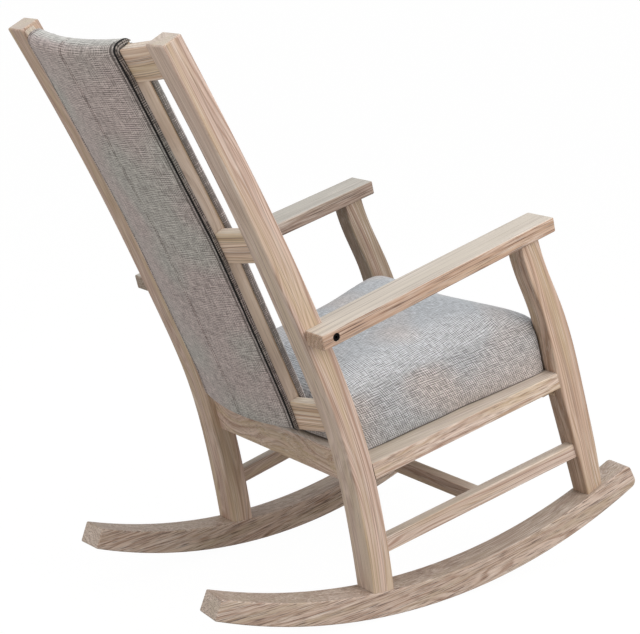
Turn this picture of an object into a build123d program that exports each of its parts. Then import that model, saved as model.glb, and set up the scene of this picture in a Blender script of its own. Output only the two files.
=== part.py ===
"""Upholstered wooden rocking chair, one solid for each real piece.

Drawing frame, in millimetres: X to the sitter's left, Y to the rear, Z up.  The side
view (Y, Z) is drawn with the floor at Z = 0 and the feet of the rear posts near
Y = 0.  Left-hand pieces are drawn, and right-hand ones are their mirror images.  At
the end the whole chair leans back on the arc of its rockers until its weight is over
the line of contact, and the origin moves to the middle of its footprint, on the floor.
"""
import os
from math import atan2, cos, degrees, radians, sin, sqrt, tan

from build123d import *

# ---- rockers: a floor arc and a top arc ----
ROCKER_WIDTH = 54.0
ROCKER_SPREAD = 476.0            # between their middles, at the splay pivot
ROCKER_SPLAY = 3.8               # degrees that each turns out towards the front
SPLAY_PIVOT_Y = -303.0
ROCKER_FLOOR_RADIUS = 1140.0
ROCKER_FLOOR_CENTRE_Y = -130.0
ROCKER_TOP_RADIUS = 1160.0
ROCKER_TOP_CENTRE_Y = -113.0
ROCKER_DEPTH = 50.5              # from the floor up to the lowest point of the top arc
ROCKER_REAR_TOP_Y = 309.0
ROCKER_REAR_FLOOR_Y = 324.0
ROCKER_FRONT_TOP_Y = -618.0
ROCKER_FRONT_FLOOR_Y = -643.0
ROCKER_NOSE_RADIUS = 14.0
REST_LEAN = 1.45                 # degrees back from the drawing, at rest

# ---- rear posts: Y, Z and depth down the middle of each bent post ----
POST_SPREAD = 487.0              # over their outer faces
POST_WIDTH = 49.0
POST_STATIONS = [
    (-25.0, 36.0, 46.0), (8.5, 225.0, 46.0), (45.0, 360.0, 45.0),
    (110.0, 520.0, 46.0), (216.5, 745.0, 42.0), (377.5, 1043.0, 37.5),
]

# ---- front legs, drawn in the same way ----
LEG_SPREAD = 542.0
LEG_WIDTH = 41.0
LEG_STATIONS = [
    (-542.0, 106.0, 38.0), (-508.0, 218.0, 50.0), (-473.0, 320.0, 55.0),
    (-447.0, 396.0, 57.0), (-404.0, 512.0, 47.5), (-363.0, 591.0, 45.0),
    (-338.0, 655.0, 43.5),
]

# ---- armrests ----
ARM_WIDTH = 65.5
ARM_THICKNESS = 27.5
ARM_OVERHANG = 17.0              # past the outer faces of the front legs
ARM_REAR_TOP = (145.0, 563.5)
ARM_SLOPE = 13.6
ARM_LENGTH = 542.0

# ---- seat frame ----
SEAT_SLOPE = 11.6
SEAT_PLANE_Z = 301.7             # tops of the side rails, at Y = 0
SIDE_RAIL_HEIGHT = 32.5
SIDE_RAIL_WIDTH = 56.0
SIDE_RAIL_RUN = 427.5            # from Y = 0 to where its outer face is level with the leg's
REAR_RAIL_TOP = (38.0, 317.0)    # its top rear edge
REAR_RAIL_RAKE = 14.5
REAR_RAIL_HEIGHT = 62.0
REAR_RAIL_THICKNESS = 25.0
FRONT_RAIL_HEIGHT = 58.0
FRONT_RAIL_THICKNESS = 25.0
FRONT_RAIL_FRONT_Y = -439.0      # its top front edge
BLOCK_LEG = 66.0                 # corner blocks: short sides of the triangle
BLOCK_HEIGHT = 28.0
BLOCK_OVERRUN = 33.0             # its blank and its screws' head bores run this far past it

# ---- stretchers ----
STRETCHER_HEIGHT = 29.5
STRETCHER_WIDTH = 21.0
STRETCHER_SPREAD = 485.7         # between their middles, at the splay pivot
STRETCHER_SLOPE = 10.6
STRETCHER_TOP_Z = 145.0          # at Y = 0
CROSS_STRETCHER_Y = -250.0

# ---- back frame ----
BACK_RAIL_HEIGHT = 58.0
BACK_RAIL_THICKNESS = 19.0
BACK_BOW = 34.0                  # rearward, at mid span
BACK_RAIL_RECESS = 3.5           # from the rear faces of the posts
TOP_RAIL_DROP = 5.0              # down the rear edge, from the top of the post
MIDDLE_RAIL_DROP = 348.0
LOWER_RAIL_DROP = 694.0
STILE_WIDTH = 34.0
STILE_OUTER_X = 137.0
BACK_BOARD_THICKNESS = 4.0
BACK_BOARD_MARGIN = 3.0

# ---- upholstery ----
BACK_HALF_WIDTH = 138.0
REAR_PANEL_THICKNESS = 9.5
FRONT_PAD_THICKNESS = 9.5
TOP_WRAP_THICKNESS = 6.0
SEAT_BOARD_THICKNESS = 12.0
SEAT_BOARD_MARGIN = 4.0          # inside the cover all round
CUSHION_HEIGHT = 113.0           # square to the seat plane
CUSHION_REAR_Y = 26.0
CUSHION_FRONT_Y = -446.0
CUSHION_LEG_GAP = 0.5            # between the cushion and each front leg
CUSHION_POST_GAP = 2.0           # between the cushion and each rear post
CUSHION_SIDE_BULGE = 6.0
CUSHION_CORNER_RADIUS = 27.0
CUSHION_EDGE_RADIUS = 22.0
COVER_THICKNESS = 2.0
SOFT_CLEARANCE = 0.3

# ---- edges ----
EDGE_RADIUS = 3.0
BACK_RAIL_CHAMFER = 1.5
STRETCHER_EDGE_RADIUS = 2.5

# ---- fasteners ----
FIT = 0.1                        # all round a dowel, bolt, screw or insert
DOWEL_RADIUS = 4.0
DOWEL_LENGTH = 40.0
SIDE_RAIL_DOWEL_SPACING = 22.0
REAR_RAIL_DOWEL_SPACING = 34.0
FRONT_RAIL_DOWEL_SPACING = 22.0
FRONT_RAIL_DOWEL_DROP = 11.0     # below the middle of the rail, clear of the side rail's
BACK_DOWEL_SPACING = 32.0
STRETCHER_DOWEL_SPACING = 14.0
ARM_DOWEL_SPACING = 20.0
STILE_DOWEL_SPACING = 16.0
BOLT_RADIUS = 4.0
BOLT_HEAD_RADIUS = 6.5
BOLT_HEAD_HEIGHT = 5.0
BOLT_SOCKET_WIDTH = 5.0          # across the flats
BOLT_SOCKET_DEPTH = 3.0
BOLT_BORE_RADIUS = 7.2
INSERT_RADIUS = 6.5
INSERT_LENGTH = 20.0
INSERT_RECESS = 2.5              # from the joint to its mouth
ARM_BOLT_POINT = (114.0, 557.0)
ARM_BOLT_SINK = 6.0              # from the arm's outer face to under the bolt's head
ARM_BORE_LENGTH = 12.0           # of the bore for its head, out past the arm's face
ROCKER_BOLT_SINK = 16.0
SCREW_RADIUS = 2.2
SCREW_HEAD_RADIUS = 4.4
SCREW_HEAD_HEIGHT = 3.0
SCREW_LENGTH = 34.0
SCREW_IN_RAIL = 12.0             # how far a corner block's screw enters the rail
SCREW_FROM_CORNER = 30.0
SCREW_HEIGHTS = (-8.0, -19.0)    # into the side rail, and into the cross rail
BOARD_SCREW_FROM_CORNER = 17.0
BOARD_SCREW_TIP = 3.0            # left between its tip and the top of the board
WIDE = 1200.0                    # longer than any piece, for cutting
FACING_ANGLE = 37.0              # degrees that an end face may turn from where its bar points

# ---- worked out from the sizes above ----
POST_OUTER_X = POST_SPREAD / 2
POST_INNER_X = POST_OUTER_X - POST_WIDTH
LEG_OUTER_X = LEG_SPREAD / 2
LEG_INNER_X = LEG_OUTER_X - LEG_WIDTH
ARM_OUTER_X = LEG_OUTER_X + ARM_OVERHANG
BOW_RADIUS = (POST_INNER_X**2 + BACK_BOW**2) / (2 * BACK_BOW)
BOW_CENTRE_Y = BACK_BOW - BACK_RAIL_RECESS - BOW_RADIUS
SIDE_RAIL_SPLAY = degrees(atan2(LEG_OUTER_X - POST_OUTER_X, SIDE_RAIL_RUN))
ARM_TILT = radians(ARM_SLOPE)
SEAT_TILT = radians(SEAT_SLOPE)
LEFT = Vector(1, 0, 0)
UP = Vector(0, 0, 1)
FORWARD = Vector(0, -1, 0)
MIRROR = Plane.YZ


# ---------------------------------------------------------------- shared helpers
def slab(outline, x_from, x_to):
    """A side-view outline made solid between two planes of constant X."""
    return extrude(Plane.YZ.offset(x_from) * outline, amount=x_to - x_from, dir=(1, 0, 0))


def bent_edges(stations):
    """Front and rear edge of a bent leg, square to its middle line at each station."""
    front, rear = [], []
    for i, (y, z, depth) in enumerate(stations):
        before = stations[max(i - 1, 0)]
        after = stations[min(i + 1, len(stations) - 1)]
        along = Vector(after[0] - before[0], after[1] - before[1]).normalized()
        to_front = Vector(-along.Y, along.X) * (depth / 2)
        front.append(Vector(y, z) + to_front)
        rear.append(Vector(y, z) - to_front)
    return Spline(*front), Spline(*rear)


def bent_outline(stations):
    front, rear = bent_edges(stations)
    return make_face([front, Line(front @ 1, rear @ 1), rear, Line(rear @ 0, front @ 0)])


def layer(top_z, slope, thickness):
    """All of a thick sheet that rises to the front, below a top that is given at Y = 0."""
    lean = radians(slope)
    top = Plane(origin=(0, 0, top_z), x_dir=(1, 0, 0), z_dir=(0, sin(lean), cos(lean)))
    return top * Pos(0, 0, -thickness / 2) * Box(2 * WIDE, 2 * WIDE, thickness)


def splayed_wall(x_at_pivot, pivot_y, splay, width):
    """Upright wall that turns outwards to the front about a pivot."""
    return Pos(x_at_pivot, pivot_y, 0) * Rot(0, 0, splay) * Box(width, WIDE, WIDE)


def pin(point, along, radius, length):
    return Plane(origin=point, z_dir=along) * Cylinder(radius, length)


def dowels(joint, spread, spacing, grow=0.0):
    """Two dowels through a joint (its middle and direction), or their holes when grown."""
    point, along = joint
    half = Vector(spread).normalized() * (spacing / 2)
    return [pin(point + half * side, along, DOWEL_RADIUS + grow, DOWEL_LENGTH + 2 * grow)
            for side in (-1, 1)]


def boxes_meet(one, other):
    return all(
        low_1 < high_2 and low_2 < high_1
        for low_1, high_1, low_2, high_2 in zip(one.min, one.max, other.min, other.max)
    )


def drilled(piece, holes):
    """The piece less every hole that reaches it."""
    box = piece.bounding_box()
    near = [hole for hole in holes if boxes_meet(box, hole.bounding_box())]
    return piece - near if near else piece


def mirrored(pieces):
    return [mirror(piece, about=MIRROR) for piece in pieces]


def both_sides(pieces):
    return pieces + mirrored(pieces)


# ---------------------------------------------------------------- rockers
def rocker_top_arc_disc():
    """Round sheet whose lower edge is the top of the rocker, as wide as the chair."""
    disc = Pos(ROCKER_TOP_CENTRE_Y, ROCKER_DEPTH + ROCKER_TOP_RADIUS) * Circle(ROCKER_TOP_RADIUS)
    return turned_out(slab(disc, -WIDE, WIDE))


def turned_out(piece):
    """Drawn straight ahead about X = 0, then splayed and moved to the left rocker."""
    return Pos(ROCKER_SPREAD / 2, SPLAY_PIVOT_Y, 0) * Rot(0, 0, ROCKER_SPLAY) * Pos(
        0, -SPLAY_PIVOT_Y, 0
    ) * piece


def floor_arc_z(y):
    return ROCKER_FLOOR_RADIUS - sqrt(ROCKER_FLOOR_RADIUS**2 - (y - ROCKER_FLOOR_CENTRE_Y) ** 2)


def top_arc_z(y):
    rise = ROCKER_TOP_RADIUS - sqrt(ROCKER_TOP_RADIUS**2 - (y - ROCKER_TOP_CENTRE_Y) ** 2)
    return ROCKER_DEPTH + rise


def rocker():
    top_front = (ROCKER_FRONT_TOP_Y, top_arc_z(ROCKER_FRONT_TOP_Y))
    top_rear = (ROCKER_REAR_TOP_Y, top_arc_z(ROCKER_REAR_TOP_Y))
    floor_front = (ROCKER_FRONT_FLOOR_Y, floor_arc_z(ROCKER_FRONT_FLOOR_Y))
    floor_rear = (ROCKER_REAR_FLOOR_Y, floor_arc_z(ROCKER_REAR_FLOOR_Y))
    top = ThreePointArc(top_front, (ROCKER_TOP_CENTRE_Y, ROCKER_DEPTH), top_rear)
    floor = ThreePointArc(floor_rear, (ROCKER_FLOOR_CENTRE_Y, 0), floor_front)
    face = make_face([top, Line(top_rear, floor_rear), floor, Line(floor_front, top_front)])
    face = fillet(face.vertices().sort_by(Axis.X)[:2], ROCKER_NOSE_RADIUS)
    bar = slab(face, -ROCKER_WIDTH / 2, ROCKER_WIDTH / 2)
    return turned_out(fillet(bar.edges(), EDGE_RADIUS))


# ---------------------------------------------------------------- posts and legs
POST_OUTLINE = bent_outline(POST_STATIONS)
LEG_OUTLINE = bent_outline(LEG_STATIONS)
POST_ZONE = slab(POST_OUTLINE, 0, WIDE)
LEG_ZONE = slab(LEG_OUTLINE, 0, WIDE)


def leg_on_rocker(outline, inner_x, outer_x):
    bar = slab(outline, inner_x, outer_x)
    return fillet(bar.edges(), EDGE_RADIUS) & rocker_top_arc_disc()


def arm_outline():
    forward = Vector(-cos(ARM_TILT), sin(ARM_TILT))
    down = Vector(-sin(ARM_TILT), -cos(ARM_TILT)) * ARM_THICKNESS
    rear_top = Vector(*ARM_REAR_TOP)
    front_top = rear_top + forward * ARM_LENGTH
    return make_face(Polyline(rear_top, front_top, front_top + down, rear_top + down, close=True))


def arm():
    """A straight bar, notched at the rear so that its outer part laps along the post."""
    bar = slab(arm_outline(), ARM_OUTER_X - ARM_WIDTH, ARM_OUTER_X)
    return fillet(bar.edges(), EDGE_RADIUS) - slab(POST_OUTLINE, 0, POST_OUTER_X)


# ---------------------------------------------------------------- seat frame
SEAT_NORMAL = Vector(0, sin(SEAT_TILT), cos(SEAT_TILT))


def seat_plane(y=0.0):
    """Plane of the tops of the side rails, with its local Y down the slope to the rear."""
    origin = (0, y, SEAT_PLANE_Z - y * tan(SEAT_TILT))
    return Plane(origin=origin, x_dir=(1, 0, 0), z_dir=SEAT_NORMAL)


def side_rail_blank():
    wall = splayed_wall(POST_OUTER_X - SIDE_RAIL_WIDTH / 2, 0, SIDE_RAIL_SPLAY, SIDE_RAIL_WIDTH)
    bar = wall & layer(SEAT_PLANE_Z, SEAT_SLOPE, SIDE_RAIL_HEIGHT)
    return fillet(bar.edges(), EDGE_RADIUS)


def between_post_and_leg(bar):
    pieces = (bar - POST_ZONE - LEG_ZONE).solids()
    return min(pieces, key=lambda piece: abs(piece.center().Y - SPLAY_PIVOT_Y))


def rear_rail(grow=0.0):
    """The rail between the posts, or the room that it takes from the upholstery."""
    plane = Plane(origin=(0, *REAR_RAIL_TOP), x_dir=(1, 0, 0), z_dir=rear_rail_up())
    height = REAR_RAIL_HEIGHT + grow
    depth = REAR_RAIL_THICKNESS + 2 * grow
    place = Pos(0, grow - depth / 2, grow - height / 2)
    return plane * place * Box(2 * POST_INNER_X, depth, height)


def rear_rail_up():
    rake = radians(REAR_RAIL_RAKE)
    return Vector(0, sin(rake), cos(rake))


def front_rail():
    place = Pos(0, FRONT_RAIL_THICKNESS / 2, -FRONT_RAIL_HEIGHT / 2)
    return seat_plane(FRONT_RAIL_FRONT_Y) * place * Box(
        2 * LEG_INNER_X, FRONT_RAIL_THICKNESS, FRONT_RAIL_HEIGHT
    )


def seat_corners():
    """Seat-plane frames in the left corners: X out to the side rail, Y off the cross rail."""
    front_y = FRONT_RAIL_FRONT_Y + FRONT_RAIL_THICKNESS * cos(SEAT_TILT)
    rear_y = REAR_RAIL_TOP[0] - REAR_RAIL_THICKNESS
    return [(seat_plane(y) * Pos(side_rail_inner_x(y), 0, 0), off)
            for y, off in ((front_y, 1), (rear_y, -1))]


def side_rail_inner_x(y):
    return POST_OUTER_X - SIDE_RAIL_WIDTH - y * tan(radians(SIDE_RAIL_SPLAY))


def corner_block(corner, off, rails):
    """Triangle that fills a corner of the seat frame, flush with the side rail's top."""
    over = BLOCK_OVERRUN
    shape = make_face(Polyline(
        (over, -over * off), (-BLOCK_LEG - over, -over * off), (-BLOCK_LEG - over, 0),
        (-BLOCK_LEG, 0), (0, BLOCK_LEG * off), (over, BLOCK_LEG * off), close=True,
    ))
    block = corner * extrude(shape, amount=-BLOCK_HEIGHT, dir=(0, 0, 1))
    block = block - rails - POST_BODY_ZONE - LEG_BODY_ZONE
    return block.solids().sort_by(SortBy.VOLUME)[-1]


POST_BODY_ZONE = slab(POST_OUTLINE, POST_INNER_X - SOFT_CLEARANCE, WIDE)
LEG_BODY_ZONE = slab(LEG_OUTLINE, LEG_INNER_X - SOFT_CLEARANCE, WIDE)


# ---------------------------------------------------------------- stretchers
def side_stretcher_blank():
    wall = splayed_wall(STRETCHER_SPREAD / 2, SPLAY_PIVOT_Y, ROCKER_SPLAY, STRETCHER_WIDTH)
    bar = wall & layer(STRETCHER_TOP_Z, STRETCHER_SLOPE, STRETCHER_HEIGHT)
    return fillet(bar.edges(), STRETCHER_EDGE_RADIUS)


def cross_stretcher(stretchers):
    slope = radians(STRETCHER_SLOPE)
    top_z = STRETCHER_TOP_Z - CROSS_STRETCHER_Y * tan(slope)
    plane = Plane(
        origin=(0, CROSS_STRETCHER_Y, top_z), x_dir=(1, 0, 0), z_dir=(0, sin(slope), cos(slope))
    )
    bar = plane * Pos(0, 0, -STRETCHER_HEIGHT / 2) * Box(
        STRETCHER_SPREAD, STRETCHER_WIDTH, STRETCHER_HEIGHT
    )
    bar = fillet(bar.edges().filter_by(Axis.X), STRETCHER_EDGE_RADIUS)
    return (bar - stretchers).solids().sort_by(SortBy.VOLUME)[-1]


# ---------------------------------------------------------------- back
POST_REAR_EDGE = bent_edges(POST_STATIONS)[1]


def back_plane(drop):
    """Plane square to the rear edge of the posts, at a distance down from their top."""
    distance = POST_REAR_EDGE.length - drop
    point = POST_REAR_EDGE.position_at(distance, position_mode=PositionMode.LENGTH)
    up = POST_REAR_EDGE.tangent_at(distance, position_mode=PositionMode.LENGTH)
    return Plane(origin=(0, point.X, point.Y), x_dir=(1, 0, 0), z_dir=(0, up.X, up.Y))


def bow_point(x, behind):
    """Point of the bow in plan, at a distance behind the rear faces of the rails."""
    return Vector(x, BOW_CENTRE_Y + sqrt((BOW_RADIUS + behind) ** 2 - x**2))


def bowed_band(x_from, x_to, front, rear):
    middle = (x_from + x_to) / 2
    rear_arc = ThreePointArc(*[bow_point(x, rear) for x in (x_from, middle, x_to)])
    front_arc = ThreePointArc(*[bow_point(x, front) for x in (x_to, middle, x_from)])
    sides = [Line(rear_arc @ 1, front_arc @ 0), Line(front_arc @ 1, rear_arc @ 0)]
    return make_face([rear_arc, front_arc, *sides])


RAIL_PLANES = [
    back_plane(drop + BACK_RAIL_HEIGHT / 2)
    for drop in (TOP_RAIL_DROP, MIDDLE_RAIL_DROP, LOWER_RAIL_DROP)
]
RAIL_FRONT = -BACK_RAIL_THICKNESS
BOARD_FRONT = RAIL_FRONT - BACK_BOARD_THICKNESS
PAD_FRONT = BOARD_FRONT - SOFT_CLEARANCE - FRONT_PAD_THICKNESS


def rail_section_planes():
    """Top and bottom plane of each back rail, from the top of the back down."""
    half = BACK_RAIL_HEIGHT / 2
    return [plane.offset(side * half) for plane in RAIL_PLANES for side in (1, -1)]


def back_rail(plane):
    """Bowed bar that butts against the inner faces of the posts."""
    band = bowed_band(-POST_INNER_X, POST_INNER_X, RAIL_FRONT, 0)
    bar = extrude(plane.offset(-BACK_RAIL_HEIGHT / 2) * band, amount=BACK_RAIL_HEIGHT,
                  dir=plane.z_dir)
    return chamfer(bar.edges().filter_by(GeomType.CIRCLE), BACK_RAIL_CHAMFER)


def back_stile(upper_plane, lower_plane):
    half = BACK_RAIL_HEIGHT / 2
    band = bowed_band(STILE_OUTER_X - STILE_WIDTH, STILE_OUTER_X, RAIL_FRONT, 0)
    return loft([lower_plane.offset(half) * band, upper_plane.offset(-half) * band], ruled=True)


def back_layer(half_width, front, rear):
    """One layer of the back, which follows the rails from the lower to the top one."""
    band = bowed_band(-half_width, half_width, front, rear)
    return loft([plane * band for plane in reversed(rail_section_planes())], ruled=True)


def back_rear_panel():
    """Thin pad over the rear of the frame, wrapped forward over the top rail."""
    rear = SOFT_CLEARANCE + REAR_PANEL_THICKNESS
    panel = back_layer(BACK_HALF_WIDTH, SOFT_CLEARANCE, rear)
    top = rail_section_planes()[0]
    riser = extrude(top * bowed_band(-BACK_HALF_WIDTH, BACK_HALF_WIDTH, SOFT_CLEARANCE, rear),
                    amount=SOFT_CLEARANCE, dir=top.z_dir)
    wrap_plane = top.offset(SOFT_CLEARANCE)
    wrap = extrude(wrap_plane * bowed_band(-BACK_HALF_WIDTH, BACK_HALF_WIDTH, PAD_FRONT, rear),
                   amount=TOP_WRAP_THICKNESS, dir=top.z_dir)
    return panel + riser + wrap


# ---------------------------------------------------------------- seat cushion
def cushion_form(inset, bottom, height):
    """Tapered block on the seat plane, inset from the cushion's sides and top."""
    front = CUSHION_FRONT_Y + inset
    rear = CUSHION_REAR_Y - inset
    front_x = LEG_INNER_X - CUSHION_LEG_GAP - inset
    rear_x = POST_INNER_X - CUSHION_POST_GAP - inset
    middle = ((front_x + rear_x) / 2 + CUSHION_SIDE_BULGE, (front + rear) / 2)
    left = ThreePointArc((rear_x, rear), middle, (front_x, front))
    right = mirror(left, about=Plane.YZ)
    plan = make_face([left, right, Line(left @ 0, right @ 0), Line(left @ 1, right @ 1)])
    plan = fillet(plan.vertices().sort_by(Axis.Y)[:2], CUSHION_CORNER_RADIUS - inset)
    plan = scale(plan, (1, 1 / cos(SEAT_TILT), 1))
    form = extrude(seat_plane() * Pos(0, 0, bottom) * plan, amount=height, dir=SEAT_NORMAL)
    return form


def rounded_top(form, radius):
    """The form with the edge round its top face rounded over."""
    top = form.faces().sort_by(lambda face: face.center().dot(SEAT_NORMAL))[-1]
    return fillet(top.edges(), radius)


def seat_soft_room():
    """What the frame takes away from the upholstery at the rear."""
    posts = both_sides([POST_BODY_ZONE])
    return posts + [rear_rail(SOFT_CLEARANCE)]


def seat_cover(room):
    outer = rounded_top(cushion_form(0, SOFT_CLEARANCE, CUSHION_HEIGHT), CUSHION_EDGE_RADIUS)
    inner = cushion_form(COVER_THICKNESS, -COVER_THICKNESS, CUSHION_HEIGHT)
    inner = rounded_top(inner, CUSHION_EDGE_RADIUS - COVER_THICKNESS)
    return outer - inner - room


def seat_foam(room):
    inset = COVER_THICKNESS + SOFT_CLEARANCE
    bottom = SEAT_BOARD_THICKNESS + SOFT_CLEARANCE
    height = CUSHION_HEIGHT - inset - bottom
    form = cushion_form(inset, bottom, height)
    return rounded_top(form, CUSHION_EDGE_RADIUS - inset) - room


def seat_board(room):
    """Plywood on the rails, from over the front rail to the front of the rear rail."""
    form = cushion_form(COVER_THICKNESS + SEAT_BOARD_MARGIN, 0, SEAT_BOARD_THICKNESS)
    return form - room


# ---------------------------------------------------------------- bolts and screws
def bolt(seat_point, along, shank):
    """Socket bolt whose head rests on seat_point, its shank pointing along."""
    seat = Plane(origin=seat_point, z_dir=along)
    socket = extrude(RegularPolygon(BOLT_SOCKET_WIDTH / 2, 6, major_radius=False),
                     amount=BOLT_SOCKET_DEPTH)
    head = Pos(0, 0, -BOLT_HEAD_HEIGHT / 2) * Cylinder(BOLT_HEAD_RADIUS, BOLT_HEAD_HEIGHT)
    head = head - Pos(0, 0, -BOLT_HEAD_HEIGHT) * socket
    body = head + Pos(0, 0, shank / 2) * Cylinder(BOLT_RADIUS, shank)
    return seat * body


def bolt_bore(seat_point, along, shank, head_room):
    """Hole for the shank, and the wider bore that its head goes down."""
    seat = Plane(origin=seat_point, z_dir=along)
    reach = shank + FIT
    hole = Pos(0, 0, reach / 2) * Cylinder(BOLT_RADIUS + FIT, reach)
    bore = Pos(0, 0, -head_room / 2) * Cylinder(BOLT_BORE_RADIUS, head_room)
    return seat * (hole + bore)


def insert(joint, along):
    """Threaded sleeve in the wood beyond a joint."""
    sleeve = Cylinder(INSERT_RADIUS, INSERT_LENGTH) - Cylinder(BOLT_RADIUS + FIT, INSERT_LENGTH)
    return Plane(origin=joint, z_dir=along) * Pos(0, 0, INSERT_RECESS + INSERT_LENGTH / 2) * sleeve


def insert_hole(joint, along):
    depth = INSERT_RECESS + INSERT_LENGTH + FIT
    hole = Pos(0, 0, depth / 2) * Cylinder(INSERT_RADIUS + FIT, depth)
    return Plane(origin=joint, z_dir=along) * hole


def screw(length, grow=0.0, head_height=SCREW_HEAD_HEIGHT):
    """Screw that points up, its head below Z = 0, or its hole when grown."""
    reach = length + grow
    shank = Pos(0, 0, reach / 2) * Cylinder(SCREW_RADIUS + grow, reach)
    head = Pos(0, 0, -head_height / 2) * Cylinder(SCREW_HEAD_RADIUS + grow, head_height)
    return shank + head


# ---------------------------------------------------------------- pieces without holes
front_rail_blank = front_rail()
rear_rail_blank = rear_rail()
rocker_blank = rocker()
post_blank = leg_on_rocker(POST_OUTLINE, POST_INNER_X, POST_OUTER_X)
leg_blank = leg_on_rocker(LEG_OUTLINE, LEG_INNER_X, LEG_OUTER_X) - slab(arm_outline(), 0, WIDE)
leg_blank = leg_blank.solids().sort_by(SortBy.VOLUME)[-1]
arm_blank = arm()
side_rail_left = between_post_and_leg(side_rail_blank() - front_rail_blank)
stretcher_left = between_post_and_leg(side_stretcher_blank())
cross_blank = cross_stretcher(both_sides([stretcher_left]))
back_rail_blanks = [back_rail(plane) for plane in RAIL_PLANES]
stile_blanks = [back_stile(*RAIL_PLANES[:2]), back_stile(*RAIL_PLANES[1:])]
room = seat_soft_room()
board_blank = seat_board(room)


# ---------------------------------------------------------------- dowel joints
def end_middle(bar, towards):
    """Middle of the largest face that looks in a direction: a bar's end, however it is cut."""
    limit = cos(radians(FACING_ANGLE))
    looking = [face for face in bar.faces() if face.normal_at().dot(Vector(towards)) > limit]
    return max(looking, key=lambda face: face.area).center()


def two_end_joints(bar, towards):
    """Both ends of a bar, each with the direction of the bar."""
    ends = [end_middle(bar, towards), end_middle(bar, -Vector(towards))]
    return [(end, (ends[0] - ends[1]).normalized()) for end in ends]


def left_joint(bar, lower=(0, 0, 0)):
    return end_middle(bar, LEFT) - Vector(lower), LEFT


def bow_joint(bar, plane):
    """Left end of a back rail, along the bow there."""
    out = bow_point(POST_INNER_X, 0) - Vector(0, BOW_CENTRE_Y)
    along = plane.x_dir * out.Y - plane.y_dir * out.X
    return end_middle(bar, LEFT), along.normalized()


def left_dowels(grow=0.0):
    """Left-hand dowels of each kind of joint, or their holes when grown."""
    front_rail_joint = left_joint(front_rail_blank, SEAT_NORMAL * FRONT_RAIL_DOWEL_DROP)
    rear_rail_joint = left_joint(rear_rail_blank)
    leg_top = end_middle(leg_blank, UP), Vector(0, sin(ARM_TILT), cos(ARM_TILT))
    joints = {
        "seat_frame_dowels": [
            *((joint, LEFT, SIDE_RAIL_DOWEL_SPACING)
              for joint in two_end_joints(side_rail_left, FORWARD)),
            (front_rail_joint, SEAT_NORMAL, FRONT_RAIL_DOWEL_SPACING),
            (rear_rail_joint, rear_rail_up(), REAR_RAIL_DOWEL_SPACING),
        ],
        "stretcher_dowels": [
            (joint, UP, STRETCHER_DOWEL_SPACING)
            for joint in (*two_end_joints(stretcher_left, FORWARD), left_joint(cross_blank))
        ],
        "back_rail_dowels": [
            (bow_joint(bar, plane), plane.z_dir, BACK_DOWEL_SPACING)
            for bar, plane in zip(back_rail_blanks, RAIL_PLANES)
        ],
        "armrest_dowels": [(leg_top, LEFT, ARM_DOWEL_SPACING)],
        "stile_dowels": [
            (joint, LEFT, STILE_DOWEL_SPACING)
            for stile in stile_blanks for joint in two_end_joints(stile, UP)
        ],
    }
    return {
        kind: [peg for joint in group for peg in dowels(*joint, grow)]
        for kind, group in joints.items()
    }


dowel_groups = left_dowels()
holes = [hole for group in left_dowels(FIT).values() for hole in group]

# ---------------------------------------------------------------- bolts
rocker_bolts, rocker_inserts = [], []
for bar, stations in ((post_blank, POST_STATIONS), (leg_blank, LEG_STATIONS)):
    foot = end_middle(bar, -UP)
    (y_0, z_0, _), (y_1, z_1, _) = stations[:2]
    along = Vector(0, y_1 - y_0, z_1 - z_0).normalized()
    grip = ROCKER_DEPTH - ROCKER_BOLT_SINK
    shank = grip + INSERT_RECESS + INSERT_LENGTH
    rocker_bolts.append(bolt(foot - along * grip, along, shank))
    rocker_inserts.append(insert(foot, along))
    holes.append(bolt_bore(foot - along * grip, along, shank, ROCKER_DEPTH))
    holes.append(insert_hole(foot, along))

arm_head = Vector(ARM_OUTER_X - ARM_BOLT_SINK, *ARM_BOLT_POINT)
arm_mouth = Vector(POST_OUTER_X, *ARM_BOLT_POINT)
arm_shank = arm_head.X - arm_mouth.X + INSERT_RECESS + INSERT_LENGTH
arm_bolts = [bolt(arm_head, -LEFT, arm_shank)]
arm_inserts = [insert(arm_mouth, -LEFT)]
holes.append(bolt_bore(arm_head, -LEFT, arm_shank, ARM_BORE_LENGTH))
holes.append(insert_hole(arm_mouth, -LEFT))

# ---------------------------------------------------------------- blocks and screws
blocks, block_screws, board_screws = [], [], []
for corner, off in seat_corners():
    blocks.append(corner_block(corner, off, [side_rail_left, front_rail_blank, rear_rail_blank]))
    from_rail = SCREW_LENGTH - SCREW_IN_RAIL
    into_side = Pos(-from_rail, SCREW_FROM_CORNER * off, SCREW_HEIGHTS[0]) * Rot(0, 90, 0)
    into_cross = Pos(-SCREW_FROM_CORNER, from_rail * off, SCREW_HEIGHTS[1]) * Rot(90 * off, 0, 0)
    for place in (into_side, into_cross):
        block_screws.append(corner * place * screw(SCREW_LENGTH))
        holes.append(corner * place * screw(SCREW_LENGTH, FIT, BLOCK_OVERRUN))
    start = Pos(-BOARD_SCREW_FROM_CORNER, BOARD_SCREW_FROM_CORNER * off,
                SCREW_HEAD_HEIGHT - BLOCK_HEIGHT)
    rise = BLOCK_HEIGHT - SCREW_HEAD_HEIGHT + SEAT_BOARD_THICKNESS - BOARD_SCREW_TIP
    board_screws.append(corner * start * screw(rise))
    holes.append(corner * start * screw(rise, FIT))

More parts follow.
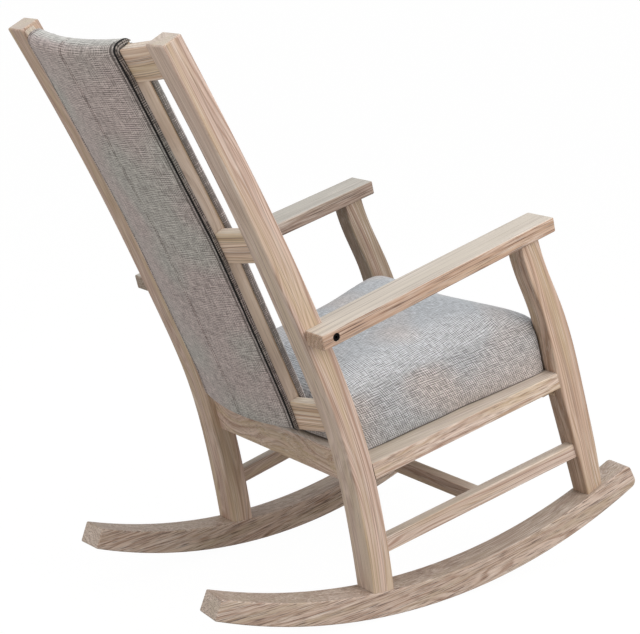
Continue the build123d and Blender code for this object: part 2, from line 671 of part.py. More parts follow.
# ---------------------------------------------------------------- nodes
all_holes = both_sides(holes)
nodes = {}
left_pieces = {
    "rocker": rocker_blank,
    "rear_post": post_blank,
    "front_leg": leg_blank,
    "armrest": arm_blank,
    "side_seat_rail": side_rail_left,
    "side_stretcher": stretcher_left,
    "back_stile_upper": stile_blanks[0],
    "back_stile_lower": stile_blanks[1],
}
for name, blank in left_pieces.items():
    piece = drilled(blank, holes)
    nodes[name + "_left"] = [piece]
    nodes[name + "_right"] = [mirror(piece, about=MIRROR)]
middle_pieces = {
    "rear_seat_rail": rear_rail_blank,
    "front_seat_rail": front_rail_blank,
    "cross_stretcher": cross_blank,
    "back_top_rail": back_rail_blanks[0],
    "back_middle_rail": back_rail_blanks[1],
    "back_lower_rail": back_rail_blanks[2],
    "seat_board": board_blank,
}
for name, blank in middle_pieces.items():
    nodes[name] = [drilled(blank, all_holes)]
paired_pieces = {
    **dowel_groups,
    "rocker_bolts": rocker_bolts,
    "rocker_bolt_inserts": rocker_inserts,
    "armrest_bolts": arm_bolts,
    "armrest_bolt_inserts": arm_inserts,
    "seat_corner_blocks": [drilled(block, holes) for block in blocks],
    "corner_block_screws": block_screws,
    "seat_board_screws": board_screws,
}
for name, pieces in paired_pieces.items():
    nodes[name] = both_sides(pieces)
nodes["back_board"] = [back_layer(BACK_HALF_WIDTH - BACK_BOARD_MARGIN, BOARD_FRONT, RAIL_FRONT)]
nodes["back_front_pad"] = [
    back_layer(BACK_HALF_WIDTH, PAD_FRONT, PAD_FRONT + FRONT_PAD_THICKNESS)
]
nodes["back_rear_panel"] = [back_rear_panel()]
nodes["seat_foam"] = [seat_foam(room)]
nodes["seat_cover"] = [seat_cover(room)]

# ---------------------------------------------------------------- lean back and save
lean = Pos(0, ROCKER_FLOOR_CENTRE_Y, ROCKER_FLOOR_RADIUS) * Rot(-REST_LEAN, 0, 0) * Pos(
    0, -ROCKER_FLOOR_CENTRE_Y, -ROCKER_FLOOR_RADIUS
)
leaned = {
    name: [solid for piece in pieces for solid in (lean * piece).solids()]
    for name, pieces in nodes.items()
}
box = Compound([solid for solids in leaned.values() for solid in solids]).bounding_box()
to_origin = Pos(0, -(box.min.Y + box.max.Y) / 2, 0)
os.makedirs("parts", exist_ok=True)
for name, solids in leaned.items():
    export_step(Compound([to_origin * solid for solid in solids]), f"parts/{name}.step")
print(f"{len(leaned)} nodes, moved by {-(box.min.Y + box.max.Y) / 2:.3f} mm along Y")
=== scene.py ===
# %% [markdown]
# # An upholstered rocking chair
# The chair is bent and sawn hardwood with a limed finish, covered at the back and on the
# seat with a grey linen-look tweed.  The CAD model gives every wooden piece its real shape
# and place, so this lesson gives the wood its grain, and makes the upholstery, which
# needs softer shapes than CAD gives.  Everything is in metres.

# %% The frame
from math import cos, pi, radians, sin

import bpy
import numpy as np
from mathutils import Matrix, Vector


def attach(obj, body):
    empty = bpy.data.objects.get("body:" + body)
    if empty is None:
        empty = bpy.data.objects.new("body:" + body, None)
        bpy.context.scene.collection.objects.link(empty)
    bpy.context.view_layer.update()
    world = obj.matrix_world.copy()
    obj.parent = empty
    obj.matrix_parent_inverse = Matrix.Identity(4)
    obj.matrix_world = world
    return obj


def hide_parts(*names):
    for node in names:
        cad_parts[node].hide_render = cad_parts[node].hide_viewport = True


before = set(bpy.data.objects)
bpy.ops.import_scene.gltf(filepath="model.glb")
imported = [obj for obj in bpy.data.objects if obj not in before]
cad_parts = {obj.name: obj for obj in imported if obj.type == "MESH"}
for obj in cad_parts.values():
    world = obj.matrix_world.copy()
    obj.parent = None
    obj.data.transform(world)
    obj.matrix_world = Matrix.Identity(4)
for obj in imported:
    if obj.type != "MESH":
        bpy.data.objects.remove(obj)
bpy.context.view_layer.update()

MM = 0.001
SCENE = bpy.context.scene


# %% [markdown]
# ## The camera
# A camera is three directions and a place.  The chair is seen from behind its right-hand
# rear post, a little above the seat, through a long lens, which keeps its parallel lines
# nearly parallel.

# %% A camera from its place, direction and roll
def camera_matrix(place, azimuth, elevation, roll):
    """Columns are right, up and back.  Back points from the chair to the camera:
    (sin a cos e, -cos a cos e, sin e).  Right is level, and roll turns it about back."""
    back = Vector((sin(azimuth) * cos(elevation), -cos(azimuth) * cos(elevation), sin(elevation)))
    level = Vector((0, 0, 1)).cross(back).normalized()
    raised = back.cross(level)
    right = cos(roll) * level - sin(roll) * raised
    up = sin(roll) * level + cos(roll) * raised
    turn = Matrix((right, up, back)).transposed().to_quaternion()
    return Matrix.LocRotScale(Vector(place), turn, None)


lens = bpy.data.cameras.new("portrait_lens")
lens.sensor_width = 36.0
lens.lens = 88.026
lens.shift_x, lens.shift_y = -0.0625, 0.0469
lens.clip_end = 50.0
camera = bpy.data.objects.new("camera", lens)
camera.matrix_world = camera_matrix(
    (-2.2117, 1.7393, 1.1842), radians(230.772), radians(14.826), radians(-0.747)
)
SCENE.collection.objects.link(camera)
SCENE.camera = camera
SCENE.view_settings.view_transform = "Standard"
print("camera at", tuple(round(v, 3) for v in camera.location))


# %% [markdown]
# ## Colours and nodes
# Colours are written as sRGB hex, which is how paint and cloth are matched on a screen,
# and turned to the linear values that Blender computes with.  One helper adds a node with
# its settings and links, so a material reads as a list of steps.

# %% Linear colour from hex, and a node with its settings and links
def linear(hex_colour):
    """Each sRGB channel c becomes c/12.92 when dark, or ((c + 0.055)/1.055) to the 2.4."""
    channels = np.array([int(hex_colour[i:i + 2], 16) for i in (1, 3, 5)]) / 255
    low, high = channels / 12.92, ((channels + 0.055) / 1.055) ** 2.4
    return (*np.where(channels <= 0.04045, low, high).tolist(), 1.0)


def connect(tree, node, inputs):
    """Sets inputs, by name or in order, to values, or links them to sockets.

    Where a node stands for a socket, it is the first of its outputs that is in use.
    """
    for key, value in inputs.items() if isinstance(inputs, dict) else enumerate(inputs):
        if isinstance(value, bpy.types.Node):
            value = next(output for output in value.outputs if output.enabled)
        if isinstance(value, bpy.types.NodeSocket):
            tree.links.new(value, node.inputs[key])
        else:
            node.inputs[key].default_value = value


def add(tree, kind, inputs=(), stops=(), **settings):
    """Adds a shader node with its settings and inputs, and a ramp's (place, colour) stops."""
    node = tree.nodes.new("ShaderNode" + kind)
    for name, value in settings.items():
        setattr(node, name, value)
    connect(tree, node, inputs)
    for i, (place, colour) in enumerate(stops):
        ramp = node.color_ramp.elements
        stop = ramp[i] if i < 2 else ramp.new(place)
        stop.position, stop.color = place, linear(colour)
    return node


def new_material(name, **shader):
    """A material with one Principled shader, whose plain values are set on its sockets."""
    material = bpy.data.materials.new(name)
    material.use_nodes = True
    tree = material.node_tree
    surface = tree.nodes["Principled BSDF"]
    connect(tree, surface, {key.replace("_", " "): value for key, value in shader.items()})
    return material, tree, surface


print("mid grey #808080 is", round(linear("#808080")[0], 3), "in linear light")


# %% [markdown]
# ## Studio
# A white sweep and large soft lamps show an object plainly.  The brightest lamp is high on
# the camera's right, so tops are light, the sides that face right are clear and the rear
# faces are a tone darker.

# %% Lamps
KEY_POWER = 44.0
TOP_POWER = 34.0
FILL_POWER = 20.5


def soft_lamp(name, place, aim, size, power, colour):
    """A square lamp at a place, turned to face its aim."""
    data = bpy.data.lights.new(name, "AREA")
    data.size, data.energy, data.color = size, power, linear(colour)[:3]
    lamp = bpy.data.objects.new(name, data)
    lamp.location = place
    lamp.rotation_euler = (Vector(aim) - Vector(place)).to_track_quat("-Z", "Y").to_euler()
    SCENE.collection.objects.link(lamp)


soft_lamp("key_lamp", (-2.3, -0.7, 1.7), (0, 0, 0.5), 1.8, KEY_POWER, "#FFF6F0")
soft_lamp("top_lamp", (-0.2, -0.4, 3.2), (0, 0, 0.4), 2.6, TOP_POWER, "#F0F8FF")
soft_lamp("fill_lamp", (-0.2, 2.5, 1.8), (0, 0.2, 0.7), 1.8, FILL_POWER, "#FFF6EC")


# %% [markdown]
# The air round the chair is a dim sky that fills its shadows.  Only the camera, and the
# rays that gloss and glass send out, see it as white.  The floor is matt paper that looks
# white to the camera in the same way, and keeps a little of the chair's shadow.

# %% World and floor
SKY_STRENGTH = 0.47
FLOOR_GLOW = 0.93                # share of the floor that is plain white to the camera
FLOOR_REACH = 60                 # metres

world = bpy.data.worlds.new("studio_air")
SCENE.world = world
world.use_nodes = True
air = world.node_tree
air.nodes.clear()
rays = add(air, "LightPath").outputs
seen = add(air, "Math", (rays["Is Camera Ray"], rays["Is Glossy Ray"]), operation="MAXIMUM")
seen = add(air, "Math", (seen, rays["Is Transmission Ray"]), operation="MAXIMUM")
dim = add(air, "Background", (linear("#F4F6F8"), SKY_STRENGTH))
white = add(air, "Background", (linear("#FFFFFF"), 1.0))
add(air, "OutputWorld", (add(air, "MixShader", (seen, dim, white)),))

sweep, tree, surface = new_material("matt_white_paper", Roughness=0.9)
surface.inputs["Base Color"].default_value = linear("#B8B6B3")
glow = add(tree, "Emission", (linear("#FFFFFF"), 1.05))
rays = add(tree, "LightPath").outputs
share = add(tree, "Math", (rays["Is Camera Ray"], FLOOR_GLOW), operation="MULTIPLY")
mixed = add(tree, "MixShader", (share, surface, glow))
connect(tree, tree.nodes["Material Output"], {"Surface": mixed})

floor_data = bpy.data.meshes.new("studio_floor")
corners = [(x * FLOOR_REACH, y * FLOOR_REACH, -MM) for x, y in ((-1, -1), (1, -1), (1, 1), (-1, 1))]
floor_data.from_pydata(corners, [], [(0, 1, 2, 3)])
floor_data.materials.append(sweep)
studio_floor = bpy.data.objects.new("studio_floor", floor_data)
SCENE.collection.objects.link(studio_floor)
print("floor:", studio_floor.name, "with", sweep.name)


# %% [markdown]
# ## Where the grain runs
# Wood grain follows the tree, and a sawn or bent piece is cut along it, so a pattern has to
# follow each piece.  A material can do that with no UV map if it knows the piece's own
# directions.  numpy finds them: the longest spread of the mesh is the way along, and a
# curve fitted to the middle of the section says how far the piece bends away from it.

# %% Directions and bend of a wooden piece
BEND_TERMS = 4                   # the highest power of the bend's curve


def mesh_points(mesh):
    """The places of all points, as one array with a row for each."""
    points = np.empty(len(mesh.vertices) * 3)
    mesh.vertices.foreach_get("co", points)
    return points.reshape(-1, 3)


def triangle_corners(mesh):
    """The places of the first, second and third corner of every triangle: three arrays."""
    mesh.calc_loop_triangles()
    corners = np.empty(len(mesh.loop_triangles) * 3, int)
    mesh.loop_triangles.foreach_get("vertices", corners)
    return mesh_points(mesh)[corners.reshape(-1, 3)].transpose(1, 0, 2)


def grain_frame(mesh, rise=None, follow=1.0):
    """Centre, turn to (along, across, through) and the bend as two polynomials of along.

    The turn's rows are the mesh's principal directions, weighted by area.  The bend is the
    least-squares curve through the section's middle: u = sum of c_k times along to the k.
    A rise is for a piece sawn from a board whose grain rises at that angle to the front.
    follow is the share of the bend that the grain follows: 1 if bent, less if sawn.
    """
    a, b, c = triangle_corners(mesh)
    middles, areas = (a + b + c) / 3, np.linalg.norm(np.cross(b - a, c - a), axis=1) / 2
    centre = np.average(middles, axis=0, weights=areas)
    if rise is None:
        spread = (middles - centre) * np.sqrt(areas)[:, None]
        axes = np.linalg.svd(spread, full_matrices=False)[2]
        if np.linalg.det(axes) < 0:
            axes[2] = -axes[2]
    else:
        axes = np.array([[0, -cos(rise), sin(rise)], [0, sin(rise), cos(rise)], [-1, 0, 0]])
    along, u, v = ((middles - centre) @ axes.T).T
    bends = [follow * np.polyfit(along, w, BEND_TERMS, w=np.sqrt(areas)) for w in (u, v)]
    return centre, axes, bends


def grain_space(tree, mesh, seed, look):
    """Node with (along, across, through) in metres: straightened, and moved by a seed so
    that no two pieces look cut from the same board.  The curve is summed from its highest
    power down, (c4 x + c3) x + c2 and so on."""
    centre, axes, bends = grain_frame(mesh, look.get("rise"), look["follow"])
    turn = Matrix(axes.tolist())
    local = add(tree, "Mapping", {
        "Vector": add(tree, "TexCoord").outputs["Object"],
        "Location": -(turn @ Vector(centre)),
        "Rotation": turn.to_euler(),
    }, vector_type="POINT")
    split = add(tree, "SeparateXYZ", (local,)).outputs
    straight = {"X": split["X"]}
    for key, bend in zip("YZ", bends):
        total = float(bend[0])
        for term in bend[1:]:
            total = add(tree, "Math", (total, split["X"], float(term)), operation="MULTIPLY_ADD")
        straight[key] = add(tree, "Math", (split[key], total), operation="SUBTRACT")
    joined = add(tree, "CombineXYZ", straight)
    return add(tree, "VectorMath", (joined, (seed * 3.17, 0, 0)), operation="ADD")


print("the way along a rear post:",
      grain_frame(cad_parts["rear_post_left"].data)[1][0].round(2).tolist())


# %% [markdown]
# ## Limed hardwood
# Liming is a white wax or wash that is rubbed into wire-brushed wood and wiped off.  It
# stays in the open pores and between the hard late rings, so the wood looks pale and a
# little grey, with fine straight lines.  Every board takes it differently, so each kind of
# piece has its own look: colours, and how strong each mark is.

# %% Looks of the pieces, and sizes of the marks
# The "top" colour and its share are painted light: faces that face up turn towards it, lighter on
# most pieces and darker on the rockers.
WASHED = {"early": "#D6BFB1", "late": "#AA8C7A", "dark": "#7A6355", "wash": "#E3D9CF",
          "tint": "#C4B08F", "top": "#CFCBC0", "top_light_share": 0.5, "front_rear_light_share": 0.0,
          "dark_share": 0.5, "line_share": 0.5, "wash_share": 0.64, "wander": 9.0,
          "follow": 1.0}
WARM = {**WASHED, "early": "#C5AB96", "late": "#A3816B", "dark": "#5A4236", "tint": "#BBA186",
        "dark_share": 0.75, "line_share": 1.0, "top_light_share": 0.7,
        "wander": 4.0, "follow": 0.0}
# painted shade: a darker copy of the near armrest's look, for the far armrest
SHADED_FAR_ARMREST = {**WARM, "early": "#A59284", "late": "#887264", "tint": "#9A8E7D",
          "dark": "#564539", "top": "#C6C4BB"}
NEAR_LEG = {**WASHED, "early": "#CBB19D", "late": "#A48671", "tint": "#B9A585"}
# painted shade: a darker copy of the wood's look, for the far front leg
SHADED_FAR_LEG = {**WASHED, "early": "#A58D7B", "late": "#836A59", "tint": "#968870"}
# painted light: the near post's front and rear faces are made paler
NEAR_POST = {**WASHED, "front_rear_light_share": 0.3}
STRIPED = {**WASHED, "early": "#DCCABD", "late": "#A98B79", "line_share": 0.7,
           "dark_share": 0.75, "wash_share": 0.8, "follow": 0.0}
BOWED = {**STRIPED, "early": "#EAD5C1", "late": "#B5937B", "follow": 1.0}
PLAIN = {**WASHED, "early": "#D8C6B6", "late": "#BFA998", "tint": "#C9B7A2",
         "dark_share": 0.25, "line_share": 0.3, "wash_share": 0.4}
DARKER = {**WASHED, "early": "#CEBAAB", "late": "#A08573", "dark": "#55423A",
          "wash": "#E4DAD0", "tint": "#B3A28A", "dark_share": 0.8, "line_share": 0.9,
          "top": "#9B8C80", "top_light_share": 0.5, "front_rear_light_share": 0.3, "wash_share": 0.8,
          "rise": radians(12), "follow": 0.4}
PALE = {**WASHED, "early": "#D3BFA6", "late": "#BFA488", "dark": "#A08468",
        "dark_share": 0.3, "line_share": 0.3}
TINT_SHARE, STREAK_SHARE = 0.65, 0.5
DUST_AND_SHADE = "#3D3028"                 # dust and painted shade, in the corners where two pieces meet
DUST_AND_SHADE_REACH, DUST_AND_SHADE_SPAN, DUST_AND_SHADE_SHARE = 7 * MM, (0.55, 0.12), 0.75

RING_WIDTH = 5.5 * MM            # growth rings are 1 to 4 mm; drawn coarser, so they show
LATE_SPAN = (0.36, 0.66)         # of the rings' noise, from early wood to late
BRUSHED = 0.5 * MM               # how deep the brush goes between the hard late rings
# Each mark's length and width in mm, detail, roughness, shift, and the span of its noise
# that it fades in over.  Pores are 0.3 mm wide and lines of late wood 1 mm, and both are
# drawn at 1.6 mm and more, so that they show when the whole chair does.
MARKS = {
    "wander": (340, 46, 1.0, 0.6, 4.0, None),
    "fibres": (190, 1.7, 4.0, 0.65, 1.0, (0.46, 0.7)),
    "streaks": (420, 13, 3.0, 0.6, 2.0, (0.5, 0.74)),
    "tints": (420, 24, 2.0, 0.6, 3.0, (0.42, 0.66)),
    "veins": (300, 3.2, 3.0, 0.6, 5.0, (0.56, 0.72)),
    "lines": (420, 1.6, 1.0, 0.5, 7.0, (0.54, 0.7)),
    "patches": (120, 30, 2.0, 0.6, 6.0, (0.3, 0.7)),
}
SMOOTH = {"interpolation_type": "SMOOTHSTEP"}
FACES_UP = (0.55, 0.95)          # the span of a normal's Z over which a face counts as a top
FACES_FRONT_REAR = (0.75, 0.9)          # and of its Y, for a face that faces front or rear, which is painted lighter
print("marks:", list(MARKS))


# %% [markdown]
# The material is built as the finish is: growth rings as bands round a heart that lies
# outside the piece, streaks and veins as noise stretched along the grain, and a pale wash
# that sits in the low places.  An image of boards would be quicker, but its seams and
# repeats show, and it can't follow a bent post.

# %% One material for each wooden piece
def limed_wood(name, node, look, seed, heart=(0.055, 0.02)):
    """Wood for a CAD node, with rings round a heart line beside the piece.

    A mark is noise on (along, across, through) divided by its size.  A ring's age is the
    distance from the heart divided by the ring width, plus a slow wander.  The colour is
    early wood with each layer laid over it: c + strength (layer - c).
    """
    material, tree, surface = new_material(f"{name}_{node}", Roughness=0.62)
    grain = grain_space(tree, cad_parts[node].data, seed, look)
    noise, fade = {}, {}
    for mark, (along, across, detail, rough, shift, span) in MARKS.items():
        size = (1 / (along * MM), 1 / (across * MM), 1 / (across * MM))
        scaled = add(tree, "VectorMath", (grain, size), operation="MULTIPLY")
        moved = add(tree, "VectorMath", (scaled, (shift, shift * 1.7, seed * 2.3)),
                    operation="ADD")
        noise[mark] = add(tree, "TexNoise", {"Vector": moved, "Scale": 1.0, "Detail": detail,
                                             "Roughness": rough})
        if span:
            fade[mark] = add(tree, "MapRange", (noise[mark], *span), **SMOOTH)

    section = add(tree, "VectorMath", (grain, (0, 1, 1)), operation="MULTIPLY")
    section = add(tree, "VectorMath", (section, (0, *heart)), operation="ADD")
    radius = add(tree, "VectorMath", (section,), operation="LENGTH")
    age = add(tree, "Math", (radius, 1 / RING_WIDTH), operation="MULTIPLY")
    age = add(tree, "Math", (noise["wander"], look["wander"], age), operation="MULTIPLY_ADD")
    rings = add(tree, "TexNoise", {"W": age, "Scale": 1.0, "Detail": 2.5, "Roughness": 0.6},
                noise_dimensions="1D")
    late = add(tree, "MapRange", (rings, *LATE_SPAN), **SMOOTH)

    normal = add(tree, "NewGeometry").outputs["Normal"]
    facing = add(tree, "SeparateXYZ", (normal,)).outputs
    # painted light: how far a face faces up
    top_light_mask = add(tree, "MapRange", (facing["Z"], *FACES_UP), **SMOOTH)
    # painted light: faces that face front or rear turn towards the pale wash colour
    front_rear_facing = add(tree, "Math", (facing["Y"],), operation="ABSOLUTE")
    ends = add(tree, "MapRange", (front_rear_facing, *FACES_FRONT_REAR), **SMOOTH)
    # painted light: the dark veins and lines fade on faces that face up, so the tops read lighter
    top_light_fade = add(tree, "Math", (top_light_mask, -0.5, 1.0), operation="MULTIPLY_ADD")
    veins, lines = (add(tree, "Math", (fade[mark], top_light_fade), operation="MULTIPLY")
                    for mark in ("veins", "lines"))
    patchy = add(tree, "Math", (fade["patches"], 0.7, 0.45), operation="MULTIPLY_ADD")
    wash = add(tree, "Math", (fade["fibres"], patchy), operation="MULTIPLY")
    # dust and painted shade: ambient occlusion darkens the corners where pieces meet
    near = add(tree, "AmbientOcclusion", {"Distance": DUST_AND_SHADE_REACH}, samples=8)
    corner_dust_and_shade = add(tree, "MapRange", (near.outputs["AO"], *DUST_AND_SHADE_SPAN), **SMOOTH)

    colour = linear(look["early"])
    for layer, share, paint in (
            (late, 1.0, look["late"]), (fade["tints"], TINT_SHARE, look["tint"]),
            (fade["streaks"], STREAK_SHARE, look["late"]),
            (top_light_mask, look["top_light_share"], look["top"]),
            (ends, look["front_rear_light_share"], look["wash"]), (veins, look["dark_share"], look["dark"]),
            (lines, look["line_share"], look["dark"]), (wash, look["wash_share"], look["wash"]),
            (corner_dust_and_shade, DUST_AND_SHADE_SHARE, DUST_AND_SHADE)):
        strength = add(tree, "Math", (layer, share), operation="MULTIPLY")
        colour = add(tree, "Mix", {0: strength, 6: colour, 7: linear(paint)}, data_type="RGBA")

    hard = add(tree, "Math", (late, 0.4), operation="MULTIPLY")
    relief = add(tree, "Math", (noise["fibres"], -0.6, hard), operation="MULTIPLY_ADD")
    bump = add(tree, "Bump", {"Height": relief, "Strength": 0.35, "Distance": BRUSHED})
    polish = add(tree, "Math", (late, -0.08, 0.66), operation="MULTIPLY_ADD")
    connect(tree, surface, {"Base Color": colour, "Normal": bump, "Roughness": polish})
    return material


def dress(node, material):
    """Puts one material on a CAD node, whose mesh stays as it is."""
    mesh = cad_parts[node].data
    mesh.materials.clear()
    mesh.materials.append(material)


print("layers over the early wood:", [mark for mark, values in MARKS.items() if values[-1]])


# %% [markdown]
# No two boards are alike, so every piece has its own seed, and its own place of the heart.
# The posts and legs are cut from different boards than the rails, the near armrest is darker
# from hands, and the rockers are the darkest.  The far front leg and the far armrest are
# painted darker still, as painted shade.  Dowels, blocks and boards that don't show are
# plain beech.

# %% Every wooden piece gets its look
paired = {"side_seat_rail": STRIPED, "side_stretcher": STRIPED,
          "back_stile_upper": PLAIN, "back_stile_lower": PLAIN}
pieces = [(f"{kind}_{side}", look) for kind, look in paired.items()
          for side in ("left", "right")]
pieces += [("rear_post_left", WASHED), ("rear_post_right", NEAR_POST),
           ("front_leg_left", SHADED_FAR_LEG), ("front_leg_right", NEAR_LEG),
           ("armrest_left", SHADED_FAR_ARMREST), ("armrest_right", WARM),
           ("rocker_left", DARKER), ("rocker_right", DARKER)]
pieces += [(node, WASHED) for node in ("rear_seat_rail", "front_seat_rail", "cross_stretcher")]
pieces += [(f"back_{place}_rail", BOWED) for place in ("top", "middle", "lower")]
for seed, (node, look) in enumerate(pieces):
    heart = (0.05 + 0.011 * (seed % 4), 0.015 + 0.013 * (seed % 3))
    dress(node, limed_wood("limed_hardwood", node, look, seed + 1.0, heart))
hidden_wood = ["seat_corner_blocks", "seat_frame_dowels", "stretcher_dowels",
               "back_rail_dowels", "armrest_dowels", "stile_dowels", "back_board",
               "seat_board"]
for seed, node in enumerate(hidden_wood):
    dress(node, limed_wood("plain_beech", node, PALE, seed + 40.0))
print("wooden nodes dressed:", len(pieces) + len(hidden_wood))


# %% [markdown]
# ## Metal
# The armrests are held by black oxide socket bolts, the blocks by zinc-plated screws, and
# the bolts turn in brass inserts.  All are plain metals, told apart by colour and
# roughness, with a fine turned finish.

# %% Fasteners
def turned_metal(name, colour, roughness):
    """Metal with a fine mottle, as plating and oxide have, 0.4 mm across."""
    material, tree, surface = new_material(name, Metallic=1.0)
    place = add(tree, "TexCoord").outputs["Object"]
    mottle = add(tree, "TexNoise", {"Vector": place, "Scale": 1 / (0.4 * MM), "Detail": 2.0})
    shade = add(tree, "ValToRGB", (mottle,), [(0.3, colour), (0.7, colour)])
    shade.color_ramp.elements[0].color = (*(0.8 * c for c in linear(colour)[:3]), 1.0)
    finish = add(tree, "MapRange", {"Value": mottle, "To Min": roughness - 0.06,
                                    "To Max": roughness + 0.08})
    connect(tree, surface, {"Base Color": shade, "Roughness": finish})
    return material


black_steel = turned_metal("black_oxide_steel", "#1B1A1A", 0.42)
zinc_steel = turned_metal("zinc_plated_steel", "#C4C8CC", 0.34)
brass = turned_metal("turned_brass", "#C9A45C", 0.32)
fasteners = {"rocker_bolts": black_steel, "armrest_bolts": black_steel,
             "rocker_bolt_inserts": brass, "armrest_bolt_inserts": brass,
             "corner_block_screws": zinc_steel, "seat_board_screws": zinc_steel}
for node, metal in fasteners.items():
    dress(node, metal)
print("fasteners dressed:", len(fasteners))


# %% [markdown]
# ## Linen-look tweed
# The cloth is a plain weave of slubby yarns in greys and a little brown.  Warp and weft
# are drawn alike: ribs that come and go, and noise stretched along the yarn, which gives
# the short uneven lines that slubs make.  The real yarns are about 0.8 mm, too fine to
# show when the whole chair does, so they are drawn two and a half times as thick.

# %% The weave, on any plane
YARN = 2.0 * MM
SLUB = 15 * MM                   # how long a thick place in a yarn is
RIB = 3.7 * MM                   # from one rib to the next
RIB_PATCH = 6 * MM               # the smallest patch over which ribs come and go
RIB_SHARE = 0.33
SLUB_SHARE = 0.75
DRIFT_LENGTH, DRIFT = 45 * MM, 6 * MM    # no yarn lies quite straight


def yarns(tree, plane, seed):
    """Tone of the cloth on a plane whose X and Y are metres along weft and warp.

    tone = sum over the two ways of ribs sin(2 pi c / p) that come and go with a noise
    along them, plus a noise that is long one way and thin the other.
    """
    drift = add(tree, "TexNoise", {"Vector": plane, "Scale": 1 / DRIFT_LENGTH, "Detail": 1.0})
    bent = add(tree, "VectorMath", (drift.outputs["Color"], (DRIFT,) * 3, plane),
               operation="MULTIPLY_ADD")
    split = add(tree, "SeparateXYZ", (bent,)).outputs
    tone = 0.0
    for key, size in (("Y", (SLUB, YARN)), ("X", (YARN, SLUB))):
        noises = []
        broad = [max(RIB_PATCH, length) for length in size]
        for (x, y), shift, detail in ((broad, 5.7, 1.0), (size, 9.3 * size[0] / SLUB, 2.0)):
            scaled = add(tree, "VectorMath", (plane, (1 / x, 1 / y, 0)), operation="MULTIPLY")
            moved = add(tree, "VectorMath", (scaled, (seed, shift, seed * 3.1)),
                        operation="ADD")
            noises.append(add(tree, "TexNoise", {"Vector": moved, "Scale": 1.0,
                                                 "Detail": detail, "Roughness": 0.5}))
        patches, slubs = noises
        turns = add(tree, "Math", (split[key], 2 * pi / RIB), operation="MULTIPLY")
        wave = add(tree, "Math", (turns,), operation="SINE")
        strength = add(tree, "MapRange", (patches, 0.36, 0.66, 0.0, RIB_SHARE))
        ribs = add(tree, "Math", (wave, strength, tone), operation="MULTIPLY_ADD")
        tone = add(tree, "Math", (slubs, SLUB_SHARE, ribs), operation="MULTIPLY_ADD")
    return tone


print("ribs in 100 mm:", round(100 * MM / RIB, 1))


# %% [markdown]
# Tone becomes colour by a ramp from the darkest yarn to the palest.  The whole cloth also
# drifts slowly between a warm and a cool cast, as wool and linen mixtures do, and shade is
# painted in where it dips into a seam or lies close to the wood.

# %% The cloth's colours and relief
BACK_CLOTH = {"dark": "#74706E", "mid": "#A9A4A1", "pale": "#D8D4D1",
              "warm": "#FFF4F4", "cool": "#F8FBF8", "spread": 0.26}
# painted shade: the side band's cloth is the back's tweed, painted darker as it lies in the narrow
# gap by the wood
SHADED_BAND_CLOTH = {**BACK_CLOTH, "dark": "#3E3A38", "mid": "#77716D", "pale": "#AFA9A4"}
SEAT_CLOTH = {"dark": "#747271", "mid": "#AFAEAE", "pale": "#E4E3E3",
              "warm": "#FFF8F4", "cool": "#F2F7FB", "spread": 0.33}
CLOTH_FINISH = {"Roughness": 0.88, "Sheen_Weight": 0.2, "Sheen_Roughness": 0.5}
CAST_LENGTH = 120 * MM
CAST_SPAN = (0.36, 0.64)         # of the slow noise, from the warm cast to the cool
CLOTH_SHADOW = "#1C1A19"
SHADOW_REACH, SHADOW_SPAN, SHADOW_SHARE = 9 * MM, (0.6, 0.15), 0.85
WEAVE_DEPTH = 0.5 * MM


def tweed(tree, surface, tone, place, look, lean=0.0):
    """Colour and relief of the cloth from the tone of its yarns, whose middle is SLUB_SHARE.

    lean shifts the slow change from the warm to the cool cast towards the cool.
    """
    spread = look["spread"]
    level = add(tree, "MapRange", (tone, SLUB_SHARE - spread, SLUB_SHARE + spread))
    shade = add(tree, "ValToRGB", (level,),
                [(0.0, look["dark"]), (1.0, look["pale"]), (0.5, look["mid"])])
    cast = add(tree, "TexNoise", {"Vector": place, "Scale": 1 / CAST_LENGTH, "Detail": 0.5})
    cast = add(tree, "Math", (cast, lean), operation="ADD")
    tint = add(tree, "ValToRGB", (cast,), list(zip(CAST_SPAN, (look["warm"], look["cool"]))))
    colour = add(tree, "Mix", {0: 1.0, 6: shade, 7: tint}, data_type="RGBA",
                 blend_type="MULTIPLY")
    # painted shade: cloth close to the wood or down in a seam turns towards the shadow colour
    near = add(tree, "AmbientOcclusion", {"Distance": SHADOW_REACH}, samples=8)
    depth = add(tree, "MapRange", (near.outputs["AO"], *SHADOW_SPAN, 0.0, SHADOW_SHARE))
    deep = add(tree, "Mix", {0: depth, 6: colour, 7: linear(CLOTH_SHADOW)}, data_type="RGBA")
    bump = add(tree, "Bump", {"Height": level, "Strength": 0.3, "Distance": WEAVE_DEPTH})
    connect(tree, surface, {"Base Color": deep, "Normal": bump})


print("yarns from", BACK_CLOTH["dark"], "to", BACK_CLOTH["pale"], "on the back,",
      SEAT_CLOTH["dark"], "to", SEAT_CLOTH["pale"], "on the seat")


# %% [markdown]
# Cloth that is laid along a path follows a flat map of the piece, in metres.  The map also
# says where the stitches and the sewn edges are.

# %% Cloth that follows its own map
STITCH = 1.2 * MM                # thread is 0.5 mm; drawn twice as thick, so it shows
STITCH_STEP = 5.0 * MM
STITCH_TONE = -0.6
STITCH_SPAN = (-0.6, 0.3)        # the part of each step that the thread takes up
SHADED_EDGE_SPAN = (-0.3 * MM, 0.9 * MM)
# painted light: cloth that faces up gets a lighter tone and a cooler cast
TOP_LIGHT_TONE, TOP_LIGHT_LEAN = 0.14, 0.3


